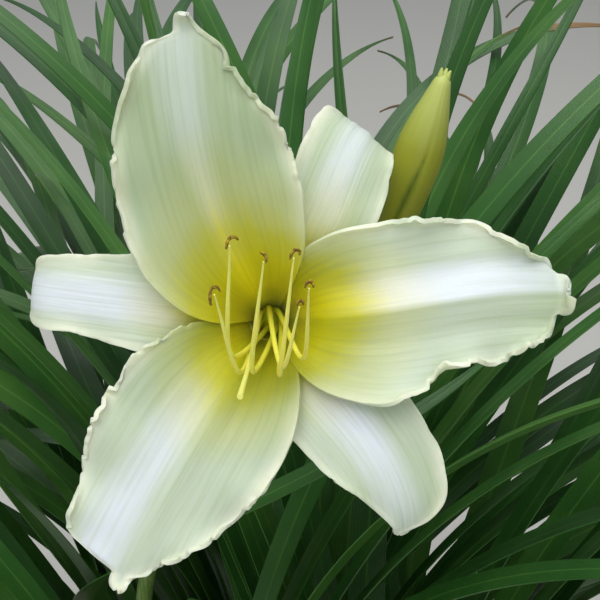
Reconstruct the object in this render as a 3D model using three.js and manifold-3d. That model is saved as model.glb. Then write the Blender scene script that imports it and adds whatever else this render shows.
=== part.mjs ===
// A daylily in a plain clay pot: six fans of strap leaves and one scape, which carries an open
// bloom, a bud about to open and two young buds.
// Millimetres, +Z up. The origin is the centre of the pot's flat base, and the bloom looks towards
// -Y and upwards. Angles are in degrees.
import * as THREE from "three";
import { mergeVertices } from "three/addons/utils/BufferGeometryUtils.js";
import Module from "manifold-3d";

const wasm = await Module();
wasm.setup();

const SEAT_GAP = 0.3; // between two pieces that touch
const HOLE_GAP = 0.5; // round a crown or the scape in its hole in the soil
const pot = {
  height: 235,
  topRadius: 122,
  baseRadius: 88,
  wall: 9,
  floor: 11,
  rimHeight: 34,
  rimProud: 8,
};
const drain = { count: 3, radius: 7, ring: 46 };
const soil = { top: 210, dome: 4 };
const fanRing = {
  radius: 72,
  firstAngle: 22,
  turns: [-45, 50, -50, -55, 50], // of each fan's plane from the line out of the pot's middle
  leaves: 16, // at most, in each fan, where they find room
};
const middleFan = { radius: 6, outward: 82, plane: -8, leaves: 12 };
const growth = { seed: 1, tries: 1500, loosens: 5, columnHeight: 60, columnRadius: 19 };
const crown = { long: 17, wide: 8.5, sunk: 28, proud: 10, leafFoot: 5.5 };
const leafSize = { length: 590, halfWidth: 8, thickness: 1.7, outward: 25 };
const bloom = { centre: new THREE.Vector3(0, -110, 668), elevation: 35, base: -46 };
const tepalSize = { thickness: 1.1, rootDepth: -27, petalRoot: 4.2, sepalRoot: 5.2 };

const rad = THREE.MathUtils.degToRad;

// ---------------------------------------------------------------- small tools

// A value at fraction s of an evenly spaced list, on a smooth curve through the list.
function along(values, s) {
  const x = s * (values.length - 1);
  const i = Math.min(Math.floor(x), values.length - 2);
  const f = x - i;
  const near = (k) => values[Math.min(Math.max(k, 0), values.length - 1)];
  const [a, b, c, d] = [near(i - 1), near(i), near(i + 1), near(i + 2)];
  return b + 0.5 * f * (c - a + f * (2 * a - 5 * b + 4 * c - d + f * (3 * (b - c) + d - a)));
}

// Frames along a rib of a given length. pitch(s) is its rise above the XY plane and heading(s) its
// direction in that plane. side points left of the heading, and up away from the upper face.
function ribFrames(start, length, steps, pitch, heading, roll) {
  const at = start.clone();
  const frames = [];
  for (let k = 0; k <= steps; k++) {
    const s = k / steps;
    const [p, h, r] = [rad(pitch(s)), rad(heading(s)), rad(roll(s))];
    const flat = new THREE.Vector3(-Math.sin(h), Math.cos(h), 0);
    const rise = new THREE.Vector3(-Math.sin(p) * Math.cos(h), -Math.sin(p) * Math.sin(h), Math.cos(p));
    const side = flat.clone().multiplyScalar(Math.cos(r)).addScaledVector(rise, Math.sin(r));
    const up = rise.multiplyScalar(Math.cos(r)).addScaledVector(flat, -Math.sin(r));
    frames.push({ s, at: at.clone(), side, up });
    const [pm, hm] = [rad(pitch(s + 0.5 / steps)), rad(heading(s + 0.5 / steps))];
    const flatPart = Math.cos(pm);
    const ahead = new THREE.Vector3(flatPart * Math.cos(hm), flatPart * Math.sin(hm), Math.sin(pm));
    at.addScaledVector(ahead, length / steps);
  }
  return frames;
}

// A closed mesh from rings of equal count, each an array of points. With alike, the second half of
// each ring is split into triangles as the first half is, so that a thin blade's faces don't cross.
function skin(rings, alike = false) {
  const count = rings[0].length;
  const last = (rings.length - 1) * count;
  const faces = [];
  for (let i = 0; i + 1 < rings.length; i++) {
    for (let j = 0; j < count; j++) {
      const [a, b] = [i * count + j, i * count + ((j + 1) % count)];
      const [c, d] = [a + count, b + count];
      if (alike && j >= count / 2) faces.push([a, b, c], [b, d, c]);
      else faces.push([a, b, d], [a, d, c]);
    }
  }
  for (let j = 1; j + 1 < count; j++) {
    const [p, q] = [(j + 1) % count, (j + 2) % count];
    faces.push([1, q, p], [last + 1, last + p, last + q]);
  }
  return closedGeometry(rings.flat(), faces);
}

// A closed mesh from a grid of points with a thickness along each point's up, split alike on both faces.
function sheet(grid, thickness) {
  const [rows, columns] = [grid.length, grid[0].length];
  const upper = grid.flat().map(({ point, up }) => point.clone().addScaledVector(up, thickness / 2));
  const lower = grid.flat().map(({ point, up }) => point.clone().addScaledVector(up, -thickness / 2));
  const under = rows * columns;
  const faces = [];
  for (let i = 0; i + 1 < rows; i++) {
    for (let j = 0; j + 1 < columns; j++) {
      const [a, b] = [i * columns + j, i * columns + j + 1];
      const [c, d] = [b + columns, a + columns];
      faces.push([a, c, b], [a, d, c]);
      faces.push([under + a, under + b, under + c], [under + a, under + c, under + d]);
    }
  }
  const rim = [];
  for (let j = 0; j < columns; j++) rim.push(j);
  for (let i = 1; i < rows; i++) rim.push(i * columns + columns - 1);
  for (let j = columns - 2; j >= 0; j--) rim.push((rows - 1) * columns + j);
  for (let i = rows - 2; i > 0; i--) rim.push(i * columns);
  rim.forEach((a, k) => {
    const b = rim[(k + 1) % rim.length];
    faces.push([a, b, under + b], [a, under + b, under + a]);
  });
  return closedGeometry([...upper, ...lower], faces);
}

function closedGeometry(corners, faces) {
  const geometry = new THREE.BufferGeometry();
  const places = corners.flatMap((corner) => corner.toArray());
  geometry.setAttribute("position", new THREE.Float32BufferAttribute(places, 3));
  geometry.setIndex(faces.flat());
  return geometry;
}

// A three.js geometry as a manifold-3d solid, turned outwards if its faces point in.
function solidOf(geometry, matrix = new THREE.Matrix4()) {
  const bare = geometry.clone().applyMatrix4(matrix);
  bare.deleteAttribute("normal");
  bare.deleteAttribute("uv");
  const merged = mergeVertices(bare, 1e-4);
  const vertProperties = merged.attributes.position.array;
  const triVerts = new Uint32Array(merged.index.array);
  const made = new wasm.Manifold(new wasm.Mesh({ numProp: 3, vertProperties, triVerts }));
  if (made.volume() > 0) return made;
  return new wasm.Manifold(new wasm.Mesh({ numProp: 3, vertProperties, triVerts: triVerts.reverse() }));
}

const join = (solids) => solids.reduce((all, next) => all.add(next));

function geometryOf(solid) {
  const { numProp, vertProperties, triVerts } = solid.getMesh();
  const positions = [];
  for (let i = 0; i < vertProperties.length; i += numProp) {
    positions.push(...vertProperties.subarray(i, i + 3));
  }
  const geometry = new THREE.BufferGeometry();
  geometry.setAttribute("position", new THREE.Float32BufferAttribute(positions, 3));
  geometry.setIndex(new THREE.BufferAttribute(triVerts, 1));
  return geometry;
}

// A solid as a named mesh, without the sealed pockets and scraps that joining and cutting can leave.
function piece(name, solid, material) {
  const shells = solidOf(geometryOf(solid)).decompose();
  const largest = shells.reduce((best, shell) => (shell.volume() > best.volume() ? shell : best));
  const geometry = geometryOf(largest);
  geometry.computeVertexNormals();
  const mesh = new THREE.Mesh(geometry, material);
  mesh.name = name;
  return mesh;
}

// A stem along a smooth curve, with a radius list from its foot to its end and lobes round it.
function stem(points, radii, sides, steps, lobes = { count: 0, depth: 0 }) {
  const curve = new THREE.CatmullRomCurve3(points, false, "centripetal");
  const { normals, binormals } = curve.computeFrenetFrames(steps, false);
  const rings = [];
  for (let k = 0; k <= steps; k++) {
    const centre = curve.getPointAt(k / steps);
    const radius = along(radii, k / steps);
    const ring = [];
    for (let j = 0; j < sides; j++) {
      const turn = (2 * Math.PI * j) / sides;
      const r = radius * (1 + lobes.depth * Math.cos(lobes.count * turn));
      ring.push(
        centre
          .clone()
          .addScaledVector(normals[k], r * Math.cos(turn))
          .addScaledVector(binormals[k], r * Math.sin(turn)),
      );
    }
    rings.push(ring);
  }
  return solidOf(skin(rings));
}

const point = (x, y, z) => new THREE.Vector3(x, y, z);
const level = (radius, angle) => point(radius * Math.cos(rad(angle)), radius * Math.sin(rad(angle)), 0);

// ---------------------------------------------------------------- materials

const matt = (color, roughness) => new THREE.MeshStandardMaterial({ color, roughness, metalness: 0 });
const finish = {
  clay: matt("#b4694a", 0.85),
  soil: matt("#3a2a1e", 0.95),
  leaf: matt("#3f7434", 0.5),
  scape: matt("#6f9440", 0.5),
  tepal: matt("#f1f0dc", 0.55),
  stamen: matt("#e0da7c", 0.5),
  bud: matt("#b8bd4c", 0.5),
};

// ---------------------------------------------------------------- pot and soil

function innerRadius(z) {
  return THREE.MathUtils.lerp(pot.baseRadius, pot.topRadius, z / pot.height) - pot.wall;
}

function potSolid() {
  const rimFoot = pot.height - pot.rimHeight;
  const outerAt = (z) => innerRadius(z) + pot.wall;
  const profile = [
    [0, 0],
    [pot.baseRadius - 3, 0],
    [pot.baseRadius, 3],
    [outerAt(rimFoot), rimFoot],
    [outerAt(rimFoot) + pot.rimProud - 2, rimFoot],
    [outerAt(rimFoot) + pot.rimProud, rimFoot + 2],
    [pot.topRadius + pot.rimProud, pot.height - 3],
    [pot.topRadius + pot.rimProud - 3, pot.height],
    [pot.topRadius - pot.wall + 2, pot.height],
    [innerRadius(pot.height - 2), pot.height - 2],
    [innerRadius(pot.floor), pot.floor],
    [0, pot.floor],
  ].map(([r, z]) => new THREE.Vector2(r, z));
  const upright = new THREE.Matrix4().makeRotationX(Math.PI / 2);
  let body = solidOf(new THREE.LatheGeometry(profile, 36), upright);
  for (let k = 0; k < drain.count; k++) {
    const turn = (2 * Math.PI * k) / drain.count;
    const bore = new THREE.CylinderGeometry(drain.radius, drain.radius, 4 * pot.floor, 16);
    const place = new THREE.Matrix4()
      .makeTranslation(drain.ring * Math.cos(turn), drain.ring * Math.sin(turn), 0)
      .multiply(upright);
    body = body.subtract(solidOf(bore, place));
  }
  return body;
}

// The potting soil, with a plain hole for each fan's crown and for the scape.
function soilSolid(holes) {
  const foot = pot.floor + SEAT_GAP;
  const profile = [
    [0, foot],
    [innerRadius(foot) - SEAT_GAP, foot],
    [innerRadius(soil.top) - SEAT_GAP, soil.top],
    [0.65 * innerRadius(soil.top), soil.top + 0.7 * soil.dome],
    [0, soil.top + soil.dome],
  ].map(([r, z]) => new THREE.Vector2(r, z));
  const upright = new THREE.Matrix4().makeRotationX(Math.PI / 2);
  return holes.reduce(
    (body, hole) => body.subtract(hole),
    solidOf(new THREE.LatheGeometry(profile, 36), upright),
  );
}

// An upright oval plug, used for a fan's crown and, a little wider, for its hole in the soil.
function ovalPlug(centre, plane, long, wide, low, high) {
  const shape = new THREE.Shape().absellipse(0, 0, long, wide, 0, 2 * Math.PI, false, rad(plane));
  const settings = { depth: high - low, bevelEnabled: false, curveSegments: 6 };
  const plug = new THREE.ExtrudeGeometry(shape, settings);
  return solidOf(plug, new THREE.Matrix4().makeTranslation(centre.x, centre.y, low));
}

// ---------------------------------------------------------------- bloom

// Each tepal leaves the tube at a heading round the bloom's axis. turn, pitch, curl and the half-widths
// left and right of its rib are even lists from root to tip; curl is the bend across it, per mm.
const petalPitch = [74, 66, 52, 33, 15, 6, 0, -5, -11];
const petalCurl = [0.22, 0.105, 0.052, 0.022, 0.007, 0, -0.004, -0.006, -0.008];
const sepalCurl = [0.2, 0.1, 0.05, 0.02, 0, -0.01, -0.014, -0.014, -0.014];
const petals = [
  {
    heading: 121,
    length: 96,
    pitch: [74, 66, 52, 37, 24, 19, 15, 9, -3],
    turn: [0, 0, 0, -2, -8, -14, -19, -22, -25, -28, -40],
    left: [3, 6, 12, 18, 21, 21.5, 20.5, 19, 15.5, 9.5, 2],
    right: [3, 6, 12.5, 19, 22.5, 24, 24, 22, 16, 10, 2],
    wave: { height: 0.9, count: 4.5, phase: 0.3 },
  },
  {
    heading: 2,
    length: 93,
    turn: [0, 0, 1, 3, 5, 7, 7, 6, 3, -2, -6],
    left: [3, 6, 12.5, 18.5, 21.5, 22, 21.5, 19.5, 15, 10, 5],
    right: [3, 6, 12.5, 18.5, 23, 24, 20.5, 16.5, 15.5, 12, 5],
    wave: { height: 1.8, count: 4.5, phase: 1.3 },
  },
  {
    heading: 242,
    length: 91,
    turn: [0, 0, 0, -2, -3, -3, -2, -2, -1, 0, 2],
    left: [3, 6, 12, 17, 21, 21.5, 20, 17.5, 13, 7, 2],
    right: [3, 6, 12.5, 20, 25, 26, 25.5, 23, 19.5, 17.5, 4],
    wave: { height: 1.8, count: 4.5, phase: 2.3 },
  },
].map((petal) => ({ pitch: petalPitch, ...petal, curl: petalCurl, root: tepalSize.petalRoot }));
const sepals = [
  {
    heading: 181,
    length: 85.5,
    turn: [0, -4, -10, -12, -10, -9, -8, -8, -8, -8, -8],
    pitch: [76, 62, 44, 24, 6, -8, -14, -68, -150],
    left: [3, 5, 9, 12, 12.5, 12, 10.5, 9.5, 9.5, 7, 0.8],
    right: [3, 5, 9, 12, 13, 13, 12, 11, 10, 7, 0.8],
    wave: { height: 0.6, count: 4, phase: 0 },
  },
  {
    heading: 63.5,
    length: 79.5,
    turn: [0, -2, -4, -3, -1, 3, 6, 2, -6, -12, -16],
    pitch: [76, 62, 44, 24, 6, -8, -30, -80, -130],
    left: [3, 5, 9, 12, 12.5, 12.5, 12.5, 12.5, 12.5, 11, 0.8],
    right: [3, 5, 9, 11.5, 12, 12, 11.5, 11, 10, 8, 0.8],
    wave: { height: 0.6, count: 4, phase: 1 },
  },
  {
    heading: 302,
    length: 76.5,
    turn: [0, 2, 6, 10, 11, 10, 6, 0, -10, -20, -34],
    pitch: [76, 62, 44, 28, 17, 10, 3, -12, -42],
    left: [3, 5, 9, 13, 15.5, 16, 16, 15.5, 15, 12, 2],
    right: [3, 5, 9, 13, 14.5, 14.5, 14, 12.5, 9, 5, 0.8],
    wave: { height: 0.6, count: 4, phase: 2 },
  },
].map((sepal) => ({ ...sepal, curl: sepalCurl, root: tepalSize.sepalRoot }));

function tepalSolid(tepal, steps, across) {
  const root = rad(tepal.heading);
  const start = point(tepal.root * Math.cos(root), tepal.root * Math.sin(root), tepalSize.rootDepth);
  const heading = (s) => tepal.heading + along(tepal.turn, s);
  const frames = ribFrames(start, tepal.length, steps, (s) => along(tepal.pitch, s), heading, () => 0);
  const grid = frames.map(({ s, at, side, up }) => {
    const row = [];
    const bend = along(tepal.curl, s) || 1e-5;
    const ruffle = tepal.wave.height * THREE.MathUtils.clamp((s - 0.35) / 0.25, 0, 1);
    for (let j = -across / 2; j <= across / 2; j++) {
      const v = j / (across / 2);
      const d = v * along(v >= 0 ? tepal.left : tepal.right, s);
      const swing = 2 * Math.PI * tepal.wave.count * s + tepal.wave.phase + (v > 0 ? 2.1 : 0);
      const lift = (1 - Math.cos(bend * d)) / bend + ruffle * Math.abs(v) ** 3 * Math.sin(swing);
      row.push({
        point: at
          .clone()
          .addScaledVector(side, Math.sin(bend * d) / bend)
          .addScaledVector(up, lift),
        up,
      });
    }
    return row;
  });
  return solidOf(sheet(grid, tepalSize.thickness));
}

// The short hollow tube that the six tepals grow out of, closed at its foot.
function tubeSolid() {
  const profile = [
    [0, bloom.base],
    [3.0, bloom.base],
    [4.2, -41],
    [4.9, -34],
    [5.9, -26],
    [7.0, -21.5],
    [5.7, -21.5],
    [3.9, -27],
    [3.6, -34],
    [2.9, -41],
    [0, -41],
  ].map(([r, z]) => new THREE.Vector2(r, z));
  return solidOf(new THREE.LatheGeometry(profile, 12), new THREE.Matrix4().makeRotationX(Math.PI / 2));
}

// Six filaments and the style, joined on the ovary in the tube's foot. Each runs out of the throat,
// sags to its bend and, but for the style, rises to its anther. leans is the anther's own direction.
const filaments = [
  { bend: point(-6.9, -12.9, 10), tip: point(-11.3, 6.4, 34), leans: point(-0.2, 0.9, 0.2) },
  { bend: point(-9, -8.4, 10), tip: point(-7.8, 17.6, 34), leans: point(0.5, 0.8, 0.2) },
  { bend: point(-3.6, -12.5, 11), tip: point(0, 13.9, 35), leans: point(-0.5, 0.8, 0.1) },
  { bend: point(3.2, -13.5, 10), tip: point(6.9, 14.8, 35), leans: point(0.5, 0.8, 0.2) },
  { bend: point(9.1, -9.6, 8), tip: point(10.4, 7.9, 32), leans: point(0, 0.9, 0.3) },
  { bend: point(4.2, -11.4, 14), tip: point(8.2, 3.6, 29), leans: point(0.2, 0.9, 0.1) },
];
const style = { bend: point(-4.2, -9.5, 6), tip: point(-5.6, -17.2, 31) };
const filamentRadius = 0.75;

function stamensSolid() {
  const ovary = stem([point(0, 0, -40.7), point(0, 0, -37), point(0, 0, -33)], [2.3, 2.6, 1.8], 8, 2);
  const threads = [...filaments, style].map(({ bend, tip }, k, all) => {
    const turn = (2 * Math.PI * k) / all.length + rad(200);
    const foot = point(1.1 * Math.cos(turn), 1.1 * Math.sin(turn), -35);
    const throat = point(3 * Math.cos(turn), 3 * Math.sin(turn), -22);
    return stem([foot, throat, bend, tip], [0.9, filamentRadius, filamentRadius, 0.6], 4, 10);
  });
  const anthers = filaments.map(({ tip, leans }) => {
    const bow = point(0, 0, -0.9);
    const end = (reach) => tip.clone().addScaledVector(leans.clone().normalize(), reach).add(bow);
    return stem([end(-2.6), tip, end(3)], [0.5, 1.1, 0.5], 4, 4);
  });
  return join([ovary, ...threads, ...anthers]);
}

const bloomTurn = new THREE.Matrix4()
  .makeTranslation(...bloom.centre.toArray())
  .multiply(new THREE.Matrix4().makeRotationX(rad(90 - bloom.elevation)));
const fromBloom = (x, y, z) => point(x, y, z).applyMatrix4(bloomTurn);

// ---------------------------------------------------------------- buds and scape

const bigBud = {
  foot: point(29, -73, 648),
  tip: point(48, -60, 715),
  radii: [2.6, 3.4, 4.6, 6, 7.4, 8.2, 8.3, 7.6, 5.8, 3.6, 1.6],
};
const youngBuds = [
  { foot: point(-11, -45, 629), tip: point(-19, -37, 659), radii: [1.9, 2.6, 3.5, 4, 3.6, 2.4, 0.7] },
  { foot: point(5, -41, 626), tip: point(9, -32, 647), radii: [1.6, 2.2, 2.9, 3, 2.4, 0.6] },
];
const scape = {
  // It leans over from the soil to the fork that its buds and bloom stand on.
  points: [
    point(-60, -14, 182),
    point(-60, -14, 228),
    point(-66, -12, 340),
    point(-61, -16, 450),
    point(-34, -31, 540),
    point(-6, -50, 604),
  ],
  radii: [4.4, 4.3, 4.1, 3.8, 3.5, 3.1, 2.8],
};
const fork = scape.points.at(-1);

function budSolid({ foot, tip, radii }, sides, steps) {
  return stem([foot, foot.clone().lerp(tip, 0.5), tip], radii, sides, steps, { count: 3, depth: 0.07 });
}

// A pointed bract that hugs the scape where a branch leaves it.
function bractSolid(foot, heading, length, halfWidth) {
  const frames = ribFrames(foot, length, 6, (s) => 78 - 18 * s, () => heading, () => 0);
  return bladeSolid(frames, (s) => halfWidth * along([0.8, 1, 0.85, 0.5, 0.06], s), () => 40, () => 1);
}

function scapeSolid() {
  const stalkTo = (foot, beyond, radii) => {
    const below = (depth) => foot.clone().addScaledVector(foot.clone().sub(beyond).normalize(), depth);
    return stem([fork.clone().setZ(fork.z - 5), below(10), below(3), below(SEAT_GAP)], radii, 6, 7);
  };
  return join([
    stem(scape.points, scape.radii, 8, 14),
    stalkTo(fromBloom(0, 0, bloom.base), bloom.centre, [2.4, 2.4, 2.6]),
    stalkTo(bigBud.foot, bigBud.tip, [2.4, 2.2, 2.2]),
    ...youngBuds.map((bud) => stalkTo(bud.foot, bud.tip, [2.2, 1.8, 1.5])),
    bractSolid(point(-5, -52, 597), -25, 34, 4.5),
    bractSolid(point(-9, -47, 595), 140, 28, 4.2),
    bractSolid(point(-65.5, -15, 372), 200, 46, 4.6),
  ]);
}

// ---------------------------------------------------------------- leaves

// A keeled blade: a thin V whose edges stand up by fold(s) degrees from its valley.
function bladeSolid(frames, halfWidth, fold, thickness) {
  const rings = frames.map(({ s, at, side, up }) => {
    const w = halfWidth(s);
    const lift = w * Math.tan(rad(fold(s)));
    const corner = (x, y) => at.clone().addScaledVector(side, x).addScaledVector(up, y);
    return [corner(-w, lift), corner(0, thickness(s) / 2), corner(w, lift), corner(0, -thickness(s) / 2)];
  });
  return solidOf(skin(rings, true));
}

// The same sequence of draws between 0 and 1 every time.
function draws(seed) {
  let state = seed;
  return () => {
    state = (state * 16807) % 2147483647;
    return state / 2147483647;
  };
}

const leafSteps = 100; // of the rib, about 6 mm each
const leafWidths = [0.7, 0.8, 0.92, 1, 1, 0.96, 0.88, 0.76, 0.6, 0.38, 0.05];
const leafFold = (s) => 40 - 28 * Math.min(1, s / 0.5);

function leafFrames(leaf) {
  const pitch = (s) => leaf.rise - leaf.droop * s ** leaf.late;
  const heading = (s) => leaf.heading + leaf.sweep * s;
  return ribFrames(leaf.foot, leaf.length, leafSteps, pitch, heading, (s) => leaf.roll * s);
}

// What the leaves leave free: the bloom and the air in front of it, the buds and the scape.
const facing = fromBloom(0, 0, 1).sub(bloom.centre);
const keepClear = [
  { from: bloom.centre, to: bloom.centre.clone().addScaledVector(facing, 300), radius: 86 },
  { from: fromBloom(0, 0, -45), to: bloom.centre, radius: 60 },
  { from: bigBud.foot, to: bigBud.tip, radius: 18 },
  ...scape.points.slice(1).map((to, k) => ({ from: scape.points[k], to, radius: 9 + k })),
];

function reaches({ from, to, radius }, at) {
  const axis = to.clone().sub(from);
  const share = THREE.MathUtils.clamp(at.clone().sub(from).dot(axis) / axis.lengthSq(), 0, 1);
  return at.distanceTo(from.clone().addScaledVector(axis, share)) < radius;
}

// Leaves claim the cells of space that they pass through, and a later leaf bends clear of them.
// A claim holds twice its fan's number, and one more past the sheath, where a fan's own leaves part.
const space = { cell: 5, low: point(-620, -620, 180), across: 248, tall: 130 };
const claims = new Uint8Array(space.across * space.across * space.tall);
const sheathEnd = 0.45;
const rootEnd = 0.06;

function leafSamples(leaf) {
  const samples = [];
  for (const { s, at, side, up } of leafFrames(leaf)) {
    for (let v = -2; s > rootEnd && v <= 2; v++) {
      const w = (v / 2) * leaf.halfWidth * along(leafWidths, s);
      const lift = Math.abs(w) * Math.tan(rad(leafFold(s)));
      samples.push({ s, at: at.clone().addScaledVector(side, w).addScaledVector(up, lift) });
    }
  }
  return samples;
}

function cellIndex(at, dx = 0, dy = 0, dz = 0) {
  const [x, y, z] = at.clone().sub(space.low).toArray().map((c) => Math.floor(c / space.cell));
  return x + dx + space.across * (y + dy + space.across * (z + dz));
}

function isClear(samples, fan) {
  const zones = [...keepClear, ...fans.filter((other) => other !== fan).map((other) => other.column)];
  return samples.every(({ s, at }) => {
    const claim = claims[cellIndex(at)];
    const taken = claim && (claim >> 1 !== fan.number || (claim % 2 && s > sheathEnd));
    return !taken && !zones.some((zone) => reaches(zone, at));
  });
}

function claimSpace(samples, fan) {
  const near = [-1, 0, 1];
  for (const { s, at } of samples) {
    const mark = 2 * fan.number + (s > sheathEnd ? 1 : 0);
    for (const dx of near) {
      for (const dy of near) for (const dz of near) claims[cellIndex(at, dx, dy, dz)] = mark;
    }
  }
}

// The leaves of a fan stand in two ranks, leaf 0 innermost and the oldest outermost and most arched.
// inward is 0 on the outer side of the clump and 1 on its inner side, where leaves stay steeper.
function drawLeaf(fan, k, loose, draw) {
  const age = k / (fan.leaves - 1);
  const rank = fan.plane + (k % 2 ? 180 : 0);
  const reach = 2 + (crown.long - 5) * age;
  const offset = fan.outward - rank;
  const inward = (1 - Math.cos(rad(offset))) / 2;
  return {
    foot: fan.centre.clone().add(level(reach, rank)).setZ(soil.top + crown.leafFoot),
    heading: rank + (draw() - 0.5) * 24 * loose,
    rise: 89 - (16 - 10 * inward) * age - 4 * draw(),
    droop: 58 + (88 - 20 * inward) * age + (draw() - 0.5) * (34 + 8 * loose),
    late: 1.4 + 0.8 * inward + 0.3 * draw(),
    sweep: leafSize.outward * Math.sin(rad(offset)) + (draw() - 0.5) * 90 * loose,
    roll: (draw() - 0.5) * 70,
    length: leafSize.length * (0.74 + 0.22 * Math.sin(Math.PI * Math.min(1, age + 0.15)) + 0.18 * draw()),
    halfWidth: leafSize.halfWidth * (0.86 + 0.2 * draw()),
  };
}

// A leaf is drawn again, ever more loosely, until it is clear of the leaves before it.
function growLeaf(fan, k, draw) {
  for (let tries = 0; tries < growth.tries; tries++) {
    const leaf = drawLeaf(fan, k, 1 + (growth.loosens * tries) / growth.tries, draw);
    const samples = leafSamples(leaf);
    if (!isClear(samples, fan)) continue;
    claimSpace(samples, fan);
    fan.grown.push(leaf);
    return;
  }
}

const leafStations = [0, 14, 29, 43, 56, 68, 79, 90, 100]; // the rib's steps that the solid takes

function leafSolid(leaf) {
  const rib = leafFrames(leaf);
  const halfWidth = (s) => leaf.halfWidth * along(leafWidths, s);
  const thickness = (s) => leafSize.thickness * (1 - 0.4 * s);
  return bladeSolid(leafStations.map((k) => rib[k]), halfWidth, leafFold, thickness);
}

function fanSolid({ centre, plane, grown }) {
  const [low, high] = [soil.top - crown.sunk, soil.top + crown.proud];
  const root = ovalPlug(centre, plane, crown.long, crown.wide, low, high);
  return join([root, ...grown.map(leafSolid)]);
}

// A fan of leaves in its place in the pot, with the column of air over it that other fans leave free.
function fanAt({ radius, outward, plane, leaves }, k) {
  const centre = level(radius, outward);
  const column = {
    from: centre.clone().setZ(soil.top),
    to: centre.clone().setZ(soil.top + growth.columnHeight),
    radius: growth.columnRadius,
  };
  return { number: k + 1, centre, outward, plane, leaves, column, grown: [] };
}

const ringFans = fanRing.turns.map((turn, k) => {
  const outward = fanRing.firstAngle + (360 / fanRing.turns.length) * k;
  return { radius: fanRing.radius, outward, plane: outward + turn, leaves: fanRing.leaves };
});
const fans = [middleFan, ...ringFans].map(fanAt);

const leafDraw = draws(growth.seed);
for (let round = 1; round <= fanRing.leaves; round++) {
  fans.filter((fan) => round <= fan.leaves).forEach((fan) => growLeaf(fan, fan.leaves - round, leafDraw));
}

// ---------------------------------------------------------------- the plant

const plant = new THREE.Group();
plant.add(piece("clay_pot", potSolid(), finish.clay));

const holeAt = (centre, plane, long, wide, foot) =>
  ovalPlug(centre, plane, long + HOLE_GAP, wide + HOLE_GAP, foot - HOLE_GAP, pot.height);
const crownHoles = fans.map(({ centre, plane }) =>
  holeAt(centre, plane, crown.long, crown.wide, soil.top - crown.sunk),
);
const scapeHole = holeAt(scape.points[0], 0, scape.radii[0], scape.radii[0], scape.points[0].z);
plant.add(piece("potting_soil", soilSolid([...crownHoles, scapeHole]), finish.soil));

fans.forEach((fan) => plant.add(piece(`leaf_fan_${fan.number}`, fanSolid(fan), finish.leaf)));
plant.add(piece("scape", scapeSolid(), finish.scape));
plant.add(piece("bud_opening", budSolid(bigBud, 12, 11), finish.bud));
youngBuds.forEach((bud, k) => plant.add(piece(`bud_young_${k + 1}`, budSolid(bud, 9, 6), finish.bud)));

const flower = new THREE.Group();
flower.applyMatrix4(bloomTurn);
const tepals = [...petals.map((p) => tepalSolid(p, 18, 6)), ...sepals.map((s) => tepalSolid(s, 13, 4))];
flower.add(piece("bloom_tepals", join([tubeSolid(), ...tepals]), finish.tepal));
flower.add(piece("bloom_stamens", stamensSolid(), finish.stamen));
plant.add(flower);

export default plant;
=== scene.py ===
# A potted daylily: one open bloom, three buds and a scape over six fans of strap leaves.
# The shapes are worked out in millimetres and turned to metres as each piece is made.
import math

import bpy
import numpy as np
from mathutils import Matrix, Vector


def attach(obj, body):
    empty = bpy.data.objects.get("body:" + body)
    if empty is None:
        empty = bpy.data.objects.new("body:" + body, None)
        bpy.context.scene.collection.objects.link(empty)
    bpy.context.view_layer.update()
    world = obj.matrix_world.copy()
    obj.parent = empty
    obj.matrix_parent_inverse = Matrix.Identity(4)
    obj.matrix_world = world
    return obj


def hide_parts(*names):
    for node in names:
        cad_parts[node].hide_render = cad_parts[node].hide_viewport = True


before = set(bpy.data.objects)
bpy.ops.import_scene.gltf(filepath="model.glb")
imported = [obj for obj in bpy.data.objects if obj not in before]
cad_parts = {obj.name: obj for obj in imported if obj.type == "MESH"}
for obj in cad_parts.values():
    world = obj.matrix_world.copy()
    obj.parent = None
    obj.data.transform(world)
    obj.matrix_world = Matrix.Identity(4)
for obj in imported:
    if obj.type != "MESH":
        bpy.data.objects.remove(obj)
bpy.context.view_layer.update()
print("frame loaded with", len(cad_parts), "nodes")


def along(values, s):
    # value at fraction s of an evenly spaced list, on a smooth curve through the list
    values, s = np.asarray(values, float), np.asarray(s, float)
    x = s * (len(values) - 1)
    i = np.minimum(np.floor(x).astype(int), len(values) - 2)
    f = x - i
    a, b, c, d = (values[np.clip(i + k, 0, len(values) - 1)] for k in (-1, 0, 1, 2))
    return b + 0.5 * f * (c - a + f * (2 * a - 5 * b + 4 * c - d + f * (3 * (b - c) + d - a)))


def ribFrames(start, length, steps, pitch, heading, roll):
    # places, left-hand sides and upward directions along a rib, as the solids have them
    s = np.arange(steps + 1) / steps
    p, h, r = np.broadcast_arrays(*(np.radians(f(s)) for f in (pitch, heading, roll)))
    flat = np.stack([-np.sin(h), np.cos(h), 0 * h], -1)
    rise = np.stack([-np.sin(p) * np.cos(h), -np.sin(p) * np.sin(h), np.cos(p)], -1)
    side = flat * np.cos(r)[..., None] + rise * np.sin(r)[..., None]
    up = rise * np.cos(r)[..., None] - flat * np.sin(r)[..., None]
    pm, hm = np.broadcast_arrays(*(np.radians(f(s[:-1] + 0.5 / steps)) for f in (pitch, heading)))
    ahead = np.stack([np.cos(pm) * np.cos(hm), np.cos(pm) * np.sin(hm), np.sin(pm)], -1)
    step = ahead * (np.asarray(length, float) / steps)[..., None, None]
    first = np.broadcast_to(start, (*step.shape[:-2], 1, 3))
    return np.cumsum(np.concatenate([first, step], -2), -2), side, up


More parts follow.
